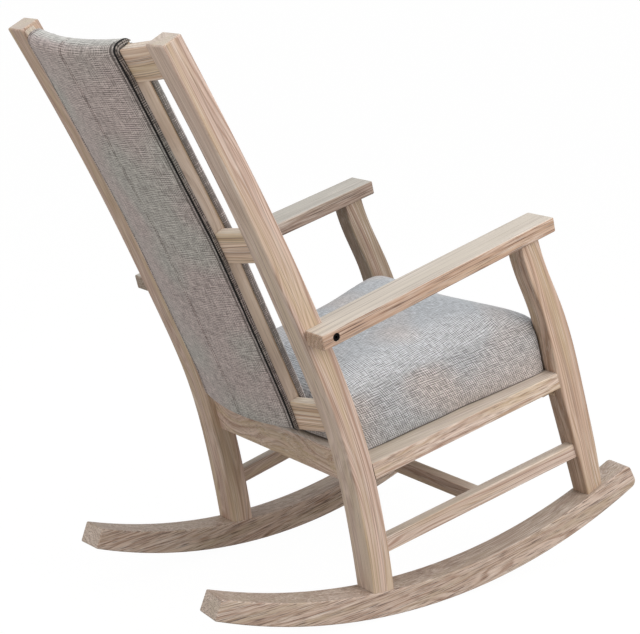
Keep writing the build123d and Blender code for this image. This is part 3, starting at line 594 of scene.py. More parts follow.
def tweed_by_map(name, seed, look, seams=0.0, edge=0.0, shade_drop=0.8):
    """Cloth whose yarns follow the piece's own UV map, in metres.

    seams is how far the two stitched lines lie from the map's middle line, or none.
    edge is how far out the cloth is darkened, as painted shade, by lowering its tone where a
    sewn edge dips into its seam.  Cloth that faces up is painted lighter and a little cooler.
    """
    material, tree, surface = new_material(name, **CLOTH_FINISH)
    flat = add(tree, "UVMap", uv_map="cloth")
    tone = yarns(tree, flat, seed)
    split = add(tree, "SeparateXYZ", (flat,)).outputs
    side = add(tree, "Math", (split["X"],), operation="ABSOLUTE")
    if seams:
        away = add(tree, "Math", (side, seams), operation="SUBTRACT")
        away = add(tree, "Math", (away,), operation="ABSOLUTE")
        line = add(tree, "MapRange", (away, STITCH, STITCH / 2))
        turns = add(tree, "Math", (split["Y"], 2 * pi / STITCH_STEP), operation="MULTIPLY")
        wave = add(tree, "Math", (turns,), operation="SINE")
        thread = add(tree, "MapRange", (wave, *STITCH_SPAN))
        thread = add(tree, "Math", (line, thread), operation="MULTIPLY")
        tone = add(tree, "Math", (thread, STITCH_TONE, tone), operation="MULTIPLY_ADD")
    # painted shade: the cloth past the edge is darkened where it dips into the seam
    if edge:
        edge_shade = add(tree, "MapRange", (side, *(edge + step for step in SHADED_EDGE_SPAN)))
        tone = add(tree, "Math", (edge_shade, -shade_drop, tone), operation="MULTIPLY_ADD")
    normal = add(tree, "NewGeometry").outputs["Normal"]
    facing = add(tree, "SeparateXYZ", (normal,)).outputs
    # painted light: cloth that faces up is lighter and a little cooler
    top_light_mask = add(tree, "MapRange", (facing["Z"], *FACES_UP))
    tone = add(tree, "Math", (top_light_mask, TOP_LIGHT_TONE, tone), operation="MULTIPLY_ADD")
    lean = add(tree, "Math", (top_light_mask, TOP_LIGHT_LEAN), operation="MULTIPLY")
    tweed(tree, surface, tone, add(tree, "TexCoord").outputs["Object"], look, lean)
    return material


tweed_flat = tweed_by_map("grey_linen_tweed_back", 3.0, BACK_CLOTH)
tweed_band_shaded = tweed_by_map("grey_linen_tweed_band_shaded", 5.0, SHADED_BAND_CLOTH)
print("cloth for the trim:", tweed_flat.name, tweed_band_shaded.name)


# %% [markdown]
# A cushion's cover is cut as flat panels, one for each face.  A flat map of a blown-up
# cushion would have to be unwrapped by hand, but three flat weaves, each seen where the
# skin faces its way, look the same.  The side panels are cut a little off the straight.

# %% Cloth for a boxed cushion
SIDE_BIAS = radians(20)
LIT_TOP_TONE, SHADED_SIDE_TONE = 0.09, -0.05        # painted light: the top is lighter than the sides
LIT_TOP_LEAN, SHADED_SIDE_LEAN = 0.10, -0.06
PANEL_SHARPNESS = 6.0


def tweed_by_sides(name, seed, slope):
    """Cloth on a box-like pad: a weave for its top, its sides and its ends.

    The pad's slope is taken out first.  Each weave's share is its face's part of the
    normal to the 6th power, so that one runs into the next over the rounded edges:
    tone = sum of share times tone over the sum of the shares.
    """
    material, tree, surface = new_material(name, **CLOTH_FINISH)
    level = {"Rotation": (slope, 0, 0)}
    place = add(tree, "Mapping", {"Vector": add(tree, "TexCoord").outputs["Object"], **level})
    normal = add(tree, "NewGeometry").outputs["Normal"]
    facing = add(tree, "Mapping", {"Vector": normal, **level}, vector_type="NORMAL")
    biased = add(tree, "Mapping", {"Vector": place, "Rotation": (SIDE_BIAS, 0, 0)})
    p, q, n = (add(tree, "SeparateXYZ", (node,)).outputs for node in (place, biased, facing))
    total_tone, total_share, shares = 0.0, 1e-4, {}
    for axis, across, along in (("Z", p["X"], p["Y"]), ("X", q["Y"], p["Z"]),
                                ("Y", p["X"], p["Z"])):
        plane = add(tree, "CombineXYZ", (across, along))
        size = add(tree, "Math", (n[axis],), operation="ABSOLUTE")
        shares[axis] = add(tree, "Math", (size, PANEL_SHARPNESS), operation="POWER")
        tone = yarns(tree, plane, seed)
        total_tone = add(tree, "Math", (shares[axis], tone, total_tone),
                         operation="MULTIPLY_ADD")
        total_share = add(tree, "Math", (shares[axis], total_share), operation="ADD")
    tone = add(tree, "Math", (total_tone, total_share), operation="DIVIDE")
    # painted light: the top of the cushion is lighter and cooler than its sides
    top = add(tree, "Math", (shares["Z"], total_share), operation="DIVIDE")
    lighter = add(tree, "MapRange", {"Value": top, "To Min": SHADED_SIDE_TONE, "To Max": LIT_TOP_TONE})
    lean = add(tree, "MapRange", {"Value": top, "To Min": SHADED_SIDE_LEAN, "To Max": LIT_TOP_LEAN})
    tone = add(tree, "Math", (tone, lighter), operation="ADD")
    tweed(tree, surface, tone, place, SEAT_CLOTH, lean)
    return material


SEAT_SLOPE = radians(13.05)      # 11.6 degrees as drawn, and 1.45 of lean at rest
tweed_cushion = tweed_by_sides("grey_linen_tweed_cushion", 11.0, SEAT_SLOPE)
print("cloth for the cushion:", tweed_cushion.name)


# %% [markdown]
# The inside of the back panel is black, and black strips in its side gaps are painted shade.

# %% Black lining, also used as painted shade in the gaps
black_lining_and_gap_shade, tree, surface = new_material("black_spun_lining_and_gap_shade", Roughness=0.95)
place = add(tree, "TexCoord").outputs["Object"]
threads = add(tree, "TexNoise", {"Vector": place, "Scale": 1 / (0.8 * MM), "Detail": 2.0})
shade = add(tree, "ValToRGB", (threads,), [(0.35, "#0A0A0A"), (0.7, "#1E1D1D")])
connect(tree, surface, {"Base Color": shade})
print("lining:", black_lining_and_gap_shade.name)


# %% [markdown]
# ## Surfaces from arrays
# A soft pad is two sheets of points that share their border: the side that shows, and the
# side that lies on the frame.  numpy works out all the points at once, and the border
# points are shared, so the mesh is closed.

# %% Closed skins from grids
def grid_faces(rows, columns):
    """Corner numbers of every square of a grid of rows by columns points."""
    first = np.arange(rows - 1)[:, None] * columns + np.arange(columns - 1)[None, :]
    return np.stack([first, first + 1, first + columns + 1, first + columns], -1).reshape(-1, 4)


def wrapped_faces(rows, columns):
    """Squares of a grid whose last column joins its first."""
    row, column = np.arange(rows - 1)[:, None] * columns, np.arange(columns)[None, :]
    first, second = row + column, row + (column + 1) % columns
    return np.stack([first, second, second + columns, first + columns], -1).reshape(-1, 4)


def add_piece(name, points, faces, material, uv=None):
    """A smooth-shaded object from arrays of points and faces, and a map if there is one."""
    mesh = bpy.data.meshes.new(name)
    mesh.from_pydata(points.tolist(), [], faces.tolist())
    if uv is not None:
        corners = np.empty(len(mesh.loops), int)
        mesh.loops.foreach_get("vertex_index", corners)
        layer = mesh.uv_layers.new(name="cloth")
        layer.data.foreach_set("uv", uv[corners].astype(np.float32).ravel())
    mesh.polygons.foreach_set("use_smooth", np.ones(len(mesh.polygons), bool))
    mesh.materials.append(material)
    mesh.update()
    piece = bpy.data.objects.new(name, mesh)
    SCENE.collection.objects.link(piece)
    return piece


def closed_pad(name, shown, resting, material, uv):
    """Joins two grids with the same border into one closed skin.

    The resting grid keeps its own inner points and takes the shown grid's border points.
    """
    rows, columns = shown.shape[:2]
    number = np.arange(rows * columns).reshape(rows, columns)
    under = number.copy()
    inner = (slice(1, -1), slice(1, -1))
    under[inner] = rows * columns + np.arange((rows - 2) * (columns - 2)).reshape(
        rows - 2, columns - 2)
    faces = grid_faces(rows, columns)
    back = under.ravel()[faces][:, ::-1]
    points = np.concatenate([shown.reshape(-1, 3), resting[inner].reshape(-1, 3)])
    maps = np.concatenate([uv.reshape(-1, 2), uv[inner].reshape(-1, 2)])
    return add_piece(name, points, np.concatenate([faces, back]), material, maps)


def facing_out(piece):
    """Turns the faces round where the closed skin is inside out: its volume, a sixth of
    the sum of a . (b x c) over the triangles, is then below nothing."""
    a, b, c = triangle_corners(piece.data)
    volume = float(np.einsum("ij,ij->", a, np.cross(b, c)) / 6)
    if volume < 0:
        piece.data.flip_normals()
    print(piece.name, "litres:", round(abs(volume) * 1000, 3))
    return piece


print("squares in a grid of 3 by 4 points:", len(grid_faces(3, 4)), "open,",
      len(wrapped_faces(3, 4)), "wrapped")


# %% [markdown]
# ## The bow of the back
# The back is bent two ways: it leans and curves with the posts, and bows to the rear
# between them.  The rear pad's CAD solid holds both: its end face gives the path up the
# back, and the bow is a circle.

# %% Path up the back, and how far the bow stands behind it
BOW_RADIUS = 573 * MM
HALF_WIDTH = 138 * MM
BACK_LEAN = radians(27)          # roughly; it only puts the corners in order


def node_points(node):
    """The places of a CAD node's points."""
    return mesh_points(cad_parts[node].data)


def end_outline(node):
    """The (Y, Z) corners of a back pad's left end, sorted from the bottom up."""
    points = node_points(node)
    end = points[points[:, 0] > points[:, 0].max() - 0.1 * MM][:, 1:]
    end = np.unique(end.round(5), axis=0)
    return end[np.argsort(end @ np.array([sin(BACK_LEAN), cos(BACK_LEAN)]))]


def bow(x):
    """How far a point of the bow lies behind the pad's ends: sqrt(R^2 - x^2) less its
    value at the ends."""
    return np.sqrt(BOW_RADIUS**2 - x**2) - np.sqrt(BOW_RADIUS**2 - HALF_WIDTH**2)


def lengths_along(path):
    """Each point's distance along the path: the sum of the steps before it."""
    return np.r_[0, np.cumsum(np.linalg.norm(np.diff(path, axis=0), axis=1))]


def dense_path(corners, count):
    """Points spread evenly by length along straight runs."""
    lengths = lengths_along(corners)
    at = np.linspace(0, lengths[-1], count)
    return np.stack([np.interp(at, lengths, corners[:, i]) for i in (0, 1)], -1)


def left_normals(path):
    """Unit vectors square to a path, to its rear as it runs up."""
    along = np.gradient(path, axis=0)
    along /= np.linalg.norm(along, axis=1, keepdims=True)
    return np.stack([along[:, 1], -along[:, 0]], -1)


def smoothed(values, width=3.0):
    """Each row averaged with its neighbours, by a bell of the given width in points."""
    reach = int(3 * width)
    bell = np.exp(-0.5 * (np.arange(-reach, reach + 1) / width) ** 2)
    padded = np.concatenate([np.repeat(values[:1], reach, 0), values,
                             np.repeat(values[-1:], reach, 0)])
    out = np.stack([np.convolve(padded[:, i], bell / bell.sum(), "valid")
                    for i in range(values.shape[1])], -1)
    out[0], out[-1] = values[0], values[-1]
    return out


print("the bow is", round(float(bow(0.0)) / MM, 1), "mm deep")


# %% [markdown]
# ## The rear panel
# The rear panel is one stuffed cover that runs up the back, over the top rail and forward
# to the front pad.  A shape like that is a thickness laid on a path: the path follows the
# wood, and the thickness says how far the cloth stands off it at each place.

# %% A path up the back and over the top rail
REAR_THICKNESS = 9.5 * MM
TOP_THICKNESS = 8.5 * MM
TOP_ARCH = 0.2                   # how much fuller the wrap is along the rail's rear edge
TOP_FALL = 2.4                   # power of its fall to nothing at the rail's front edge
THIN_END = 0.02                  # of its thickness is left at its end
FRONT_CUT = 8.5 * MM             # the wrap ends at the board, short of the front pad
RAIL_EDGE = 6.0 * MM             # radius of the path round the top rail's edge
RAIL_CLEARANCE = 1.2 * MM        # of that path above the rail
REAR_POINTS, CORNER_POINTS, TOP_POINTS = 150, 12, 14


def up_the_rear(outline):
    """Path, thickness direction and bow direction at each point up the rear.

    The path is straight between the corners of the rails, a quarter circle of radius r at
    the top edge, Q + r (cos t B + sin t U), and straight again forward, where the
    thickness falls as the square root of 1 - t to a power.
    """
    pairs = outline[:10].reshape(5, 2, 2)
    inner = pairs[np.arange(5), pairs[:, :, 0].argmin(1)]
    corner = outline[10]
    front = outline[10:][outline[10:, 0].argmin()]
    path = smoothed(dense_path(np.vstack([inner, corner]), REAR_POINTS))
    rearward = smoothed(left_normals(path))
    up = (corner - inner[-1]) / np.linalg.norm(corner - inner[-1])
    back = np.array([up[1], -up[0]])
    centre = corner - RAIL_EDGE * (back + up) + RAIL_CLEARANCE * up
    turn = np.linspace(0, pi / 2, CORNER_POINTS + 1)[1:, None]
    spokes = np.cos(turn) * back, np.sin(turn) * up
    bend = centre + RAIL_EDGE * (spokes[0] + spokes[1])
    lift = spokes[0] * REAR_THICKNESS + spokes[1] * TOP_THICKNESS
    run = np.linalg.norm(front - corner) - RAIL_EDGE - FRONT_CUT
    forward = np.linspace(0, 1, TOP_POINTS + 1)[1:, None]
    path[-1] = centre + RAIL_EDGE * back
    arch = (1 + TOP_ARCH) * np.sqrt(np.maximum(1 - forward**TOP_FALL, THIN_END**2))
    return {
        "path": np.vstack([path, bend, bend[-1] - run * forward * back]),
        "lift": np.vstack([rearward * REAR_THICKNESS, lift * (1 + TOP_ARCH * np.sin(turn)),
                           np.repeat(lift[-1:], TOP_POINTS, 0) * arch]),
        "bow": np.vstack([rearward, np.repeat(back[None], CORNER_POINTS + TOP_POINTS, 0)]),
    }


rear_way = up_the_rear(end_outline("back_rear_panel"))
rear_lengths = lengths_along(rear_way["path"])
print("the rear panel's path is", round(rear_lengths[-1] / MM), "mm long")


# %% [markdown]
# The panel's skin then needs only its thickness at each place.  It is rounded at its
# edges, a little fuller in the middle, and drawn down by the seam and its two rows of
# stitches.  The grid is finer where the thickness changes fast.

# %% A pad laid on the path
EDGE_STEPS = np.array([0, 0.15, 0.5, 1.0, 1.8, 2.8, 4.0, 5.5, 7.5]) * MM


def on_the_back(way, x, height):
    """Points at x across the back and a height in thicknesses above the path.

    point = path(s) + bow(x) B(s) + height(s, x) L(s), in the upright plane of each x.
    """
    side = (way["path"][:, None] + bow(x)[None, :, None] * way["bow"][:, None]
            + height[..., None] * way["lift"][:, None])
    return np.concatenate([np.broadcast_to(x, side.shape[:2])[..., None], side], -1)


def pad_on_the_back(name, way, across, thick, material, cloth_across, cloth_along):
    """A closed pad from the path up to its thickness, with a flat map for its cloth."""
    flat = np.stack(np.broadcast_arrays(cloth_across[None, :], cloth_along[:, None]), -1)
    return facing_out(closed_pad(name, on_the_back(way, across, thick),
                                 on_the_back(way, across, 0 * thick), material, flat))


def edge_round(distance, radius):
    """Rises from 0 at an edge to 1 at the radius, as a quarter of a circle."""
    near = np.clip(distance / radius, 0, 1)
    return np.sqrt(1 - (1 - near) ** 2)


def valley(x, middle, depth, width):
    """A stitch line's dip: depth times a bell of x about its middle."""
    return depth * np.exp(-0.5 * ((x - middle) / width) ** 2)


def columns_across(half, lines, spacing, fine):
    """Places across a pad: evenly spaced, with more of them at the edges and seams."""
    coarse = np.arange(-half, half + spacing / 2, spacing)
    near = [m + np.linspace(-5, 5, 11) * fine for m in lines]
    edges = [side * (half - EDGE_STEPS) for side in (-1, 1)]
    return np.unique(np.clip(np.concatenate([coarse, *near, *edges]), -half, half).round(5))


print("5 mm in, an edge of radius 10 mm has risen to",
      round(float(edge_round(5 * MM, 10 * MM)), 3), "of its height")


# %% The rear panel's stuffed cover
BAND_WIDTH = 1.2 * MM
GAP_WIDTH = 2.2 * MM
WELT_RADIUS = 1.7 * MM
PAD_HALF = HALF_WIDTH - BAND_WIDTH - GAP_WIDTH - 2 * WELT_RADIUS - 0.4 * MM
SEAM_SPACING = 3.2 * MM          # from the middle seam to the stitches on each side of it
SEAM_DEPTH, STITCH_DEPTH = 0.16, 0.07    # in thicknesses
SEAM_WIDTH, STITCH_WIDTH = 0.8 * MM, 0.5 * MM
SIDE_ROUND, FOOT_ROUND, TOP_ROUND = 5.5 * MM, 6 * MM, 3 * MM
REAR_CROWN = 0.22
SHADED_EDGE_WIDTH = 3.6 * MM             # of the cloth dips towards the welt, and is darkened there as painted shade

across = columns_across(PAD_HALF, (0.0, -SEAM_SPACING, SEAM_SPACING), 5.5 * MM, 0.55 * MM)
seams = (valley(across, 0.0, SEAM_DEPTH, SEAM_WIDTH)
         + valley(across, -SEAM_SPACING, STITCH_DEPTH, STITCH_WIDTH)
         + valley(across, SEAM_SPACING, STITCH_DEPTH, STITCH_WIDTH))
crown = 0.96 + REAR_CROWN * (1 - (across / PAD_HALF) ** 2) - seams
thick = edge_round(PAD_HALF - np.abs(across), SIDE_ROUND) * crown
thick = thick[None, :] * np.minimum(
    edge_round(rear_lengths, FOOT_ROUND),
    edge_round(rear_lengths[-1] - rear_lengths, TOP_ROUND))[:, None]
rear_pad = pad_on_the_back(
    "back_rear_pad", rear_way, across, thick,
    tweed_by_map("grey_linen_tweed_stitched", 3.0, BACK_CLOTH, SEAM_SPACING,
                 PAD_HALF - SHADED_EDGE_WIDTH),
    across, lengths_along(rear_way["path"] + rear_way["lift"]))


# %% [markdown]
# A cord covered in the same cloth, called a welt, runs along each side seam, and a narrow
# band closes the side of the panel down to the wood.  Both are one outline carried along
# the path, so one function makes them.  Between them a black strip fills the gap, as
# painted shade.

# %% An outline carried along the back
TRIM_TAPER = 4 * MM
TRIM_SIDES = 14


def carried(name, way, place, half_across, half_up, squareness, material, height):
    """An outline carried along the back at x = place.

    The outline is a superellipse, (a |cos t|^e, b |sin t|^e) with signs, whose centre
    stands a height above the path.  It narrows at its two ends, which strips of squares
    close.
    """
    turn = np.linspace(0, 2 * pi, TRIM_SIDES, endpoint=False)
    wide, high = (np.sign(wave) * np.abs(wave) ** squareness
                  for wave in (np.cos(turn), np.sin(turn)))
    sides, rises = wide * half_across, high[None, :] * half_up[:, None]
    unit = way["lift"] / np.linalg.norm(way["lift"], axis=1, keepdims=True)
    path = way["path"] + bow(np.array(place)) * way["bow"]
    s = lengths_along(path)
    taper = edge_round(np.minimum(s, s[-1] - s) + 0.2 * MM, TRIM_TAPER)[:, None]
    flat = path[:, None] + unit[:, None] * (taper * (height[:, None] + rises))[..., None]
    x = place + sides[None, :] * (0.3 + 0.7 * taper)
    points = np.concatenate([x[..., None], flat], -1)
    rung = np.arange(TRIM_SIDES // 2 - 1)
    cap = np.stack([rung, rung + 1, TRIM_SIDES - 2 - rung, TRIM_SIDES - 1 - rung], -1)
    faces = np.concatenate([wrapped_faces(len(path), TRIM_SIDES), cap[:, ::-1],
                            cap + (len(path) - 1) * TRIM_SIDES])
    uv = np.stack(np.broadcast_arrays(rises + sides[None, :], s[:, None]), -1)
    return facing_out(add_piece(name, points.reshape(-1, 3), faces, material,
                                uv.reshape(-1, 2)))


print("sides of a welt's outline:", TRIM_SIDES)


# %% Welts, side bands, painted shade in the gaps, and the lining
BAND_SHARE = 0.78                # of the panel's thickness that the side band covers
BOXED = 0.35                     # squareness of a flat strip's outline; 1 is round
LINING_THICKNESS = 0.07          # in thicknesses of the panel

welt_place = PAD_HALF + WELT_RADIUS + 0.2 * MM
band_place = HALF_WIDTH - BAND_WIDTH / 2
gap_place = HALF_WIDTH - BAND_WIDTH - GAP_WIDTH / 2
lift_height = np.linalg.norm(rear_way["lift"], axis=1)
welt_rise = np.minimum(WELT_RADIUS, lift_height / 2)
band_rise = BAND_SHARE * lift_height / 2
rear_trim = []
for side, sign in (("left", 1), ("right", -1)):
    rear_trim.append(carried(f"back_welt_{side}", rear_way, sign * welt_place, WELT_RADIUS,
                             welt_rise, 1.0, tweed_flat, lift_height - welt_rise + 0.3 * MM))
    # the side band wears the darker copy of the tweed: painted shade
    rear_trim.append(carried(f"back_band_{side}", rear_way, sign * band_place,
                             BAND_WIDTH / 2, band_rise, BOXED, tweed_band_shaded, band_rise))
    # painted shade: a black strip in the gap between the welt and the side band
    rear_trim.append(carried(f"back_gap_shade_{side}", rear_way, sign * gap_place,
                             GAP_WIDTH / 2 + 0.1 * MM, lift_height / 2 - 0.3 * MM, BOXED,
                             black_lining_and_gap_shade, lift_height / 2))
across = np.linspace(-HALF_WIDTH + 0.4 * MM, HALF_WIDTH - 0.4 * MM, 41)
lining = pad_on_the_back("back_lining", rear_way, across,
                         np.full((len(rear_lengths), len(across)), LINING_THICKNESS),
                         black_lining_and_gap_shade, across, rear_lengths)
for piece in [rear_pad, *rear_trim, lining]:
    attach(piece, "root")
    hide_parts("back_rear_panel")


# %% [markdown]
# ## The front pad
# The sitter leans on a thicker pad.  Its cover is boxed: a band as deep as the board and
# wadding are thick, a seam, and a face that swells out beyond the seam.

# %% Front pad, its band and its seams
FRONT_THICKNESS = 9.5 * MM
FRONT_DROP = 2 * MM              # its top lies under the end of the wrap
FRONT_TOP_ROUND = 14 * MM        # how far down its top edge is rounded off
FRONT_CROWN = 0.95               # of the thickness, at the middle
BAND_ROUND = 1.2 * MM            # the boxed band rises to its full depth over this
SEAM_PLACE, SEAM_INSET = 2.2 * MM, 1.5 * MM      # in from the edge: seam, start of the swell
SWELL_REACH = 42 * MM            # from the seam to where the face is full
# painted shade: the front pad's cloth is darkened over this width at its sides
FRONT_SHADED_EDGE_WIDTH = 8.5 * MM
FRONT_SHADE_DROP = 0.3


def up_the_front(outline):
    """As up_the_rear, for the pad in front: its path runs up the board, and lifts forward."""
    pairs = outline.reshape(-1, 2, 2)
    board = pairs[np.arange(len(pairs)), pairs[:, :, 0].argmax(1)].copy()
    last_run = board[-1] - board[-2]
    board[-1] -= FRONT_DROP * last_run / np.linalg.norm(last_run)
    path = smoothed(dense_path(board, REAR_POINTS))
    rearward = smoothed(left_normals(path))
    return {"path": path, "lift": -rearward * FRONT_THICKNESS, "bow": rearward}


front_way = up_the_front(end_outline("back_front_pad"))
across = columns_across(HALF_WIDTH, (), 6.0 * MM, 1.0)
along = lengths_along(front_way["path"])
from_side = HALF_WIDTH - np.abs(across)[None, :]
from_end = np.minimum(along, along[-1] - along)[:, None]
nearest = np.minimum(from_side, from_end)
band = edge_round(nearest, BAND_ROUND)
swell = FRONT_CROWN * edge_round(np.clip(nearest - SEAM_INSET, 0, None), SWELL_REACH)
seam = valley(nearest, SEAM_PLACE, SEAM_DEPTH, 0.7 * MM)
thick = 0.98 * band + swell - seam * band
thick = thick * edge_round(along[-1] - along, FRONT_TOP_ROUND)[:, None]
girth = lengths_along(np.stack([across, thick[len(along) // 2] * FRONT_THICKNESS], -1))
girth = girth - girth[-1] / 2
front_pad = pad_on_the_back(
    "back_front_cushion", front_way, across, thick,
    tweed_by_map("grey_linen_tweed_front", 3.0, BACK_CLOTH, 0.0,
                 girth[-1] - FRONT_SHADED_EDGE_WIDTH, FRONT_SHADE_DROP), girth, along)
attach(front_pad, "root")
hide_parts("back_front_pad")


# %% [markdown]
# ## The seat cushion
# A foam block in a pulled-over cover is a rounded box that air and foam push out: crowned
# on top, full at its edges and flat where it rests.  The frame says how much room it has,
# so that is measured first, on the seat's own sloping directions.

# %% The room that the frame leaves for the cushion
FORWARD = np.array([0, -cos(SEAT_SLOPE), sin(SEAT_SLOPE)])
UPWARD = np.array([0, sin(SEAT_SLOPE), cos(SEAT_SLOPE)])
SEAT_AXES = np.stack([[1, 0, 0], FORWARD, UPWARD])
SIDE_SWELL = 6.5 * MM            # past the line of the legs' and posts' inner faces
FRONT_SWELL = 17 * MM
LEG_BAND = (380 * MM, 75 * MM)   # middle and half height of the part beside the cushion
POST_BAND = (370 * MM, 60 * MM)

cover = node_points("seat_cover") @ SEAT_AXES.T
rear_end, front_end = cover[:, 1].min(), cover[:, 1].max()
seat_level, top_level = cover[:, 2].min(), cover[:, 2].max()
wall = cover[(cover[:, 2] < seat_level + MM) & (cover[:, 0] > 0.15)
             & (cover[:, 1] < front_end - 32 * MM)]
wall = wall[wall[:, 0] > np.interp(wall[:, 1], [rear_end, front_end], [0.190, 0.225])]
half_width = np.polyfit(wall[:, 1], wall[:, 0], 2)
rail = node_points("rear_seat_rail") @ SEAT_AXES.T
rail_front, rail_top = rail[:, 1].max(), rail[:, 2].max()
leg = node_points("front_leg_left") @ SEAT_AXES.T
leg = leg[(leg[:, 0] < leg[:, 0].min() + MM) & (np.abs(leg[:, 2] - LEG_BAND[0]) < LEG_BAND[1])]
leg = leg[leg[:, 1] < np.median(leg[:, 1])]
leg_rear = np.polyfit(leg[:, 2], leg[:, 1], 1)
post = node_points("rear_post_left") @ SEAT_AXES.T
post_front = post[np.abs(post[:, 2] - POST_BAND[0]) < POST_BAND[1], 1].max()


def free_width(f):
    """Half the cushion's width over the side rails, where no leg or post holds it in."""
    return np.polyval(half_width, f) + SIDE_SWELL + FRONT_SWELL * (f / front_end) ** 2


print("cushion room mm:", [round(v / MM, 1) for v in (rear_end, front_end, seat_level,
                                                      top_level, rail_front, rail_top)])
print("half widths mm:", [round(float(np.polyval(half_width, f)) / MM, 1)
                          for f in (rear_end, 0, front_end)])
print("leg's rear and post's front mm:", (np.polyval(leg_rear, seat_level) / MM).round(1),
      (post_front / MM).round(1))


# %% [markdown]
# The shape starts as a superellipsoid, a little smaller than its room.  It runs on below
# the seat, where it is pressed flat later, so that its sides stand nearly upright.

# %% The cushion's first form
PLAN_SQUARENESS = 0.13           # 1 is round and 0 is square
SIDE_SQUARENESS = 0.41
START_INSET = 5 * MM
VOXEL = 6 * MM
BELOW_SEAT = 70 * MM             # how far the first form runs on below the seat
CROWN = 26 * MM                  # of the top's middle, above the corners' level


def superellipsoid(squareness_plan, squareness_side, columns=120, rows=60):
    """x = c(b) c(a), y = c(b) s(a), z = s(b), each sine and cosine to a power below 1."""
    a = np.linspace(0, 2 * pi, columns, endpoint=False)[None, :]
    b = np.linspace(-pi / 2, pi / 2, rows)[:, None]
    waves = ((np.cos(a), squareness_plan), (np.sin(a), squareness_plan),
             (np.cos(b), squareness_side), (np.sin(b), squareness_side))
    ca, sa, cb, sb = (np.sign(wave) * np.abs(wave) ** power for wave, power in waves)
    return np.stack(np.broadcast_arrays(cb * ca, cb * sa, sb + 0 * a), -1)


def seat_block(name, unit, ends, levels, half_across, material):
    """A unit shape on the seat's slope, between two ends and two levels, closed.

    f and n are the middle of their limits plus the unit's y and z times half the distance,
    and x is the unit's x times the half width at f.
    """
    f, n = (sum(limits) / 2 + unit[..., i] * (limits[1] - limits[0]) / 2
            for i, limits in ((1, ends), (2, levels)))
    points = np.stack([unit[..., 0] * half_across(f), f, n], -1) @ SEAT_AXES
    return add_piece(name, points.reshape(-1, 3), wrapped_faces(*unit.shape[:2]), material)


def final_mesh(piece):
    """The mesh of a piece with its modifiers applied, as new data."""
    graph = bpy.context.evaluated_depsgraph_get()
    return bpy.data.meshes.new_from_object(piece.evaluated_get(graph))


def remeshed(piece, size):
    """Gives the piece an even skin of squares of about one size, closed at its poles."""
    modifier = piece.modifiers.new("even_squares", "REMESH")
    modifier.mode, modifier.voxel_size = "VOXEL", size
    mesh = final_mesh(piece)
    piece.modifiers.clear()
    piece.data = mesh


cushion = seat_block("seat_cushion", superellipsoid(PLAN_SQUARENESS, SIDE_SQUARENESS),
                     (rear_end + START_INSET, front_end - START_INSET),
                     (seat_level - BELOW_SEAT, top_level + CROWN - START_INSET),
                     lambda f: free_width(f) - START_INSET, tweed_cushion)
remeshed(cushion, VOXEL)
print("points of the cushion's skin:", len(cushion.data.vertices))


# %% [markdown]
# Blender's cloth then blows the skin up from inside, as foam fills a cover.  How far each
# point moves is capped and averaged with its neighbours, which leaves the swell and takes
# the wrinkles out.

# %% Blowing up the skin
SWELL_CAP = 10 * MM
PRESSURE = 4.0
CLOTH_FRAMES = 20


def blown_up(piece, pressure, cap):
    """How far each point moves when the skin is cloth with air inside, up to a cap."""
    start = mesh_points(piece.data)
    cloth = piece.modifiers.new("air", "CLOTH")
    cloth.settings.quality = 6
    cloth.settings.mass = 0.25
    cloth.settings.bending_stiffness = 6.0
    cloth.settings.use_pressure = True
    cloth.settings.uniform_pressure_force = pressure
    cloth.settings.effector_weights.gravity = 0
    for number in range(1, CLOTH_FRAMES + 1):
        SCENE.frame_set(number)
    moved = mesh_points(final_mesh(piece)) - start
    piece.modifiers.clear()
    SCENE.frame_set(1)
    length = np.linalg.norm(moved, axis=1, keepdims=True)
    return moved * np.minimum(1, cap / np.maximum(length, 1e-9))


def evened(mesh, moved, rounds=60):
    """Each point's movement averaged with its neighbours', so that no wrinkle stays."""
    ends = np.empty(len(mesh.edges) * 2, int)
    mesh.edges.foreach_get("vertices", ends)
    ends = ends.reshape(-1, 2)
    here, there = np.r_[ends[:, 0], ends[:, 1]], np.r_[ends[:, 1], ends[:, 0]]
    count = np.bincount(here, minlength=len(moved))[:, None]
    for _ in range(rounds):
        sums = [np.bincount(here, moved[there, i], len(moved)) for i in range(3)]
        moved = 0.5 * moved + 0.5 * np.stack(sums, -1) / count
    return moved


shape = mesh_points(cushion.data)
swell = evened(cushion.data, blown_up(cushion, PRESSURE, SWELL_CAP))
print("most swell mm:", round(float(np.linalg.norm(swell, axis=1).max()) / MM, 1))
shape = shape + swell


# %% [markdown]
# Last, the skin is drawn out to its room again, because swelling pulls its sides in, and
# pressed back where the rails, legs and posts hold it.  A soft limit presses as foam
# gives: far below the limit nothing changes, and near it the shape rounds off.

# %% Pressing the cushion into its room
END_ROUND = 70 * MM              # the rounded corners, which the fitted width leaves out
WIDTH_SLOTS = 16
LEG_ROUND = 12 * MM              # radius of the swell beside a leg or post


def stretched(points):
    """f is scaled from end to end, and n from the seat to the crown.  x is scaled by
    width(f) / w(f), where w is a curve fitted to the widest points between the corners."""
    x, f, n = (points @ SEAT_AXES.T).T
    edges = np.linspace(f.min() + END_ROUND, f.max() - END_ROUND, WIDTH_SLOTS)
    place = np.digitize(f, edges)
    widest = np.array([np.abs(x[place == i]).max() for i in range(1, WIDTH_SLOTS)])
    own = np.polyfit((edges[1:] + edges[:-1]) / 2, widest, 2)
    placed = np.interp(f, [f.min(), f.max()], [rear_end - MM, front_end + MM])
    n = seat_level + (n - seat_level) * (top_level + CROWN - seat_level) / (
        n.max() - seat_level)
    return np.stack([x * free_width(placed) / np.polyval(own, f), placed, n], -1) @ SEAT_AXES


def held_below(values, limit, softness):
    """limit - s ln(1 + exp((limit - v) / s)): follows v far below a limit, never over it."""
    return limit - softness * np.logaddexp(0, (limit - values) / softness)


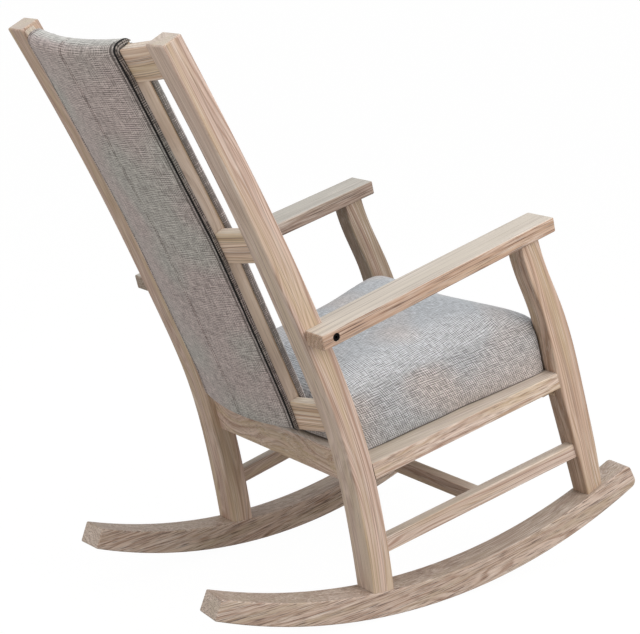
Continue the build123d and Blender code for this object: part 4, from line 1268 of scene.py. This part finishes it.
def held_width(f, n):
    """The side limit: a quarter circle from each leg and post out to the free width."""
    free, held = free_width(f) + MM, np.polyval(half_width, f) - 0.3 * MM
    from_leg = np.polyval(leg_rear, n) - MM - f
    from_post = f - post_front - MM
    return held + (free - held) * edge_round(np.minimum(from_leg, from_post), LEG_ROUND)


def pressed(points):
    """The cushion held by its room: sides, ends, the seat below and the rear rail, whose
    top edge is a step 1 / (1 + exp(n / s)) in the rear limit."""
    x, f, n = (points @ SEAT_AXES.T).T
    x = np.sign(x) * held_below(np.abs(x), held_width(f, n), 1.5 * MM)
    f = held_below(f, front_end + 0.2 * MM, 3 * MM)
    back_wall = rear_end + (rail_front + 0.4 * MM - rear_end) / (
        1 + np.exp((n - rail_top - 1.5 * MM) / (1.8 * MM)))
    f = -held_below(-f, -back_wall, 2 * MM)
    n = -held_below(-n, -(seat_level + 0.1 * MM), 1.2 * MM)
    return np.stack([x, f, n], -1) @ SEAT_AXES


cushion.data.vertices.foreach_set("co", pressed(stretched(shape)).ravel())
cushion.data.materials.clear()
cushion.data.materials.append(tweed_cushion)
cushion.data.polygons.foreach_set("use_smooth", np.ones(len(cushion.data.polygons), bool))
finer = cushion.modifiers.new("round_off", "SUBSURF")
finer.levels = finer.render_levels = 1
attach(cushion, "root")
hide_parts("seat_cover")
facing_out(cushion)


# %% [markdown]
# The foam inside is a block of cream polyurethane.  It never shows, but it is a piece of
# the chair, so it gets a body of its own inside the cover.

# %% Foam
FOAM_SIDE = 22 * MM              # from the cover's side to the foam's
foam, tree, surface = new_material("cream_polyurethane_foam", Roughness=0.95)
place = add(tree, "TexCoord").outputs["Object"]
cells = add(tree, "TexVoronoi", {"Vector": place, "Scale": 1 / (1.2 * MM)})
shade = add(tree, "ValToRGB", (cells,), [(0.2, "#D9CDA6"), (0.8, "#F2E9C8")])
connect(tree, surface, {"Base Color": shade})
block = facing_out(seat_block(
    "seat_foam_block", superellipsoid(0.3, 0.5, 80, 40),
    (rear_end + 46 * MM, front_end - 22 * MM), (seat_level + 13 * MM, top_level - 20 * MM),
    lambda f: np.polyval(half_width, f) - FOAM_SIDE, foam))
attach(block, "root")
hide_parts("seat_foam")
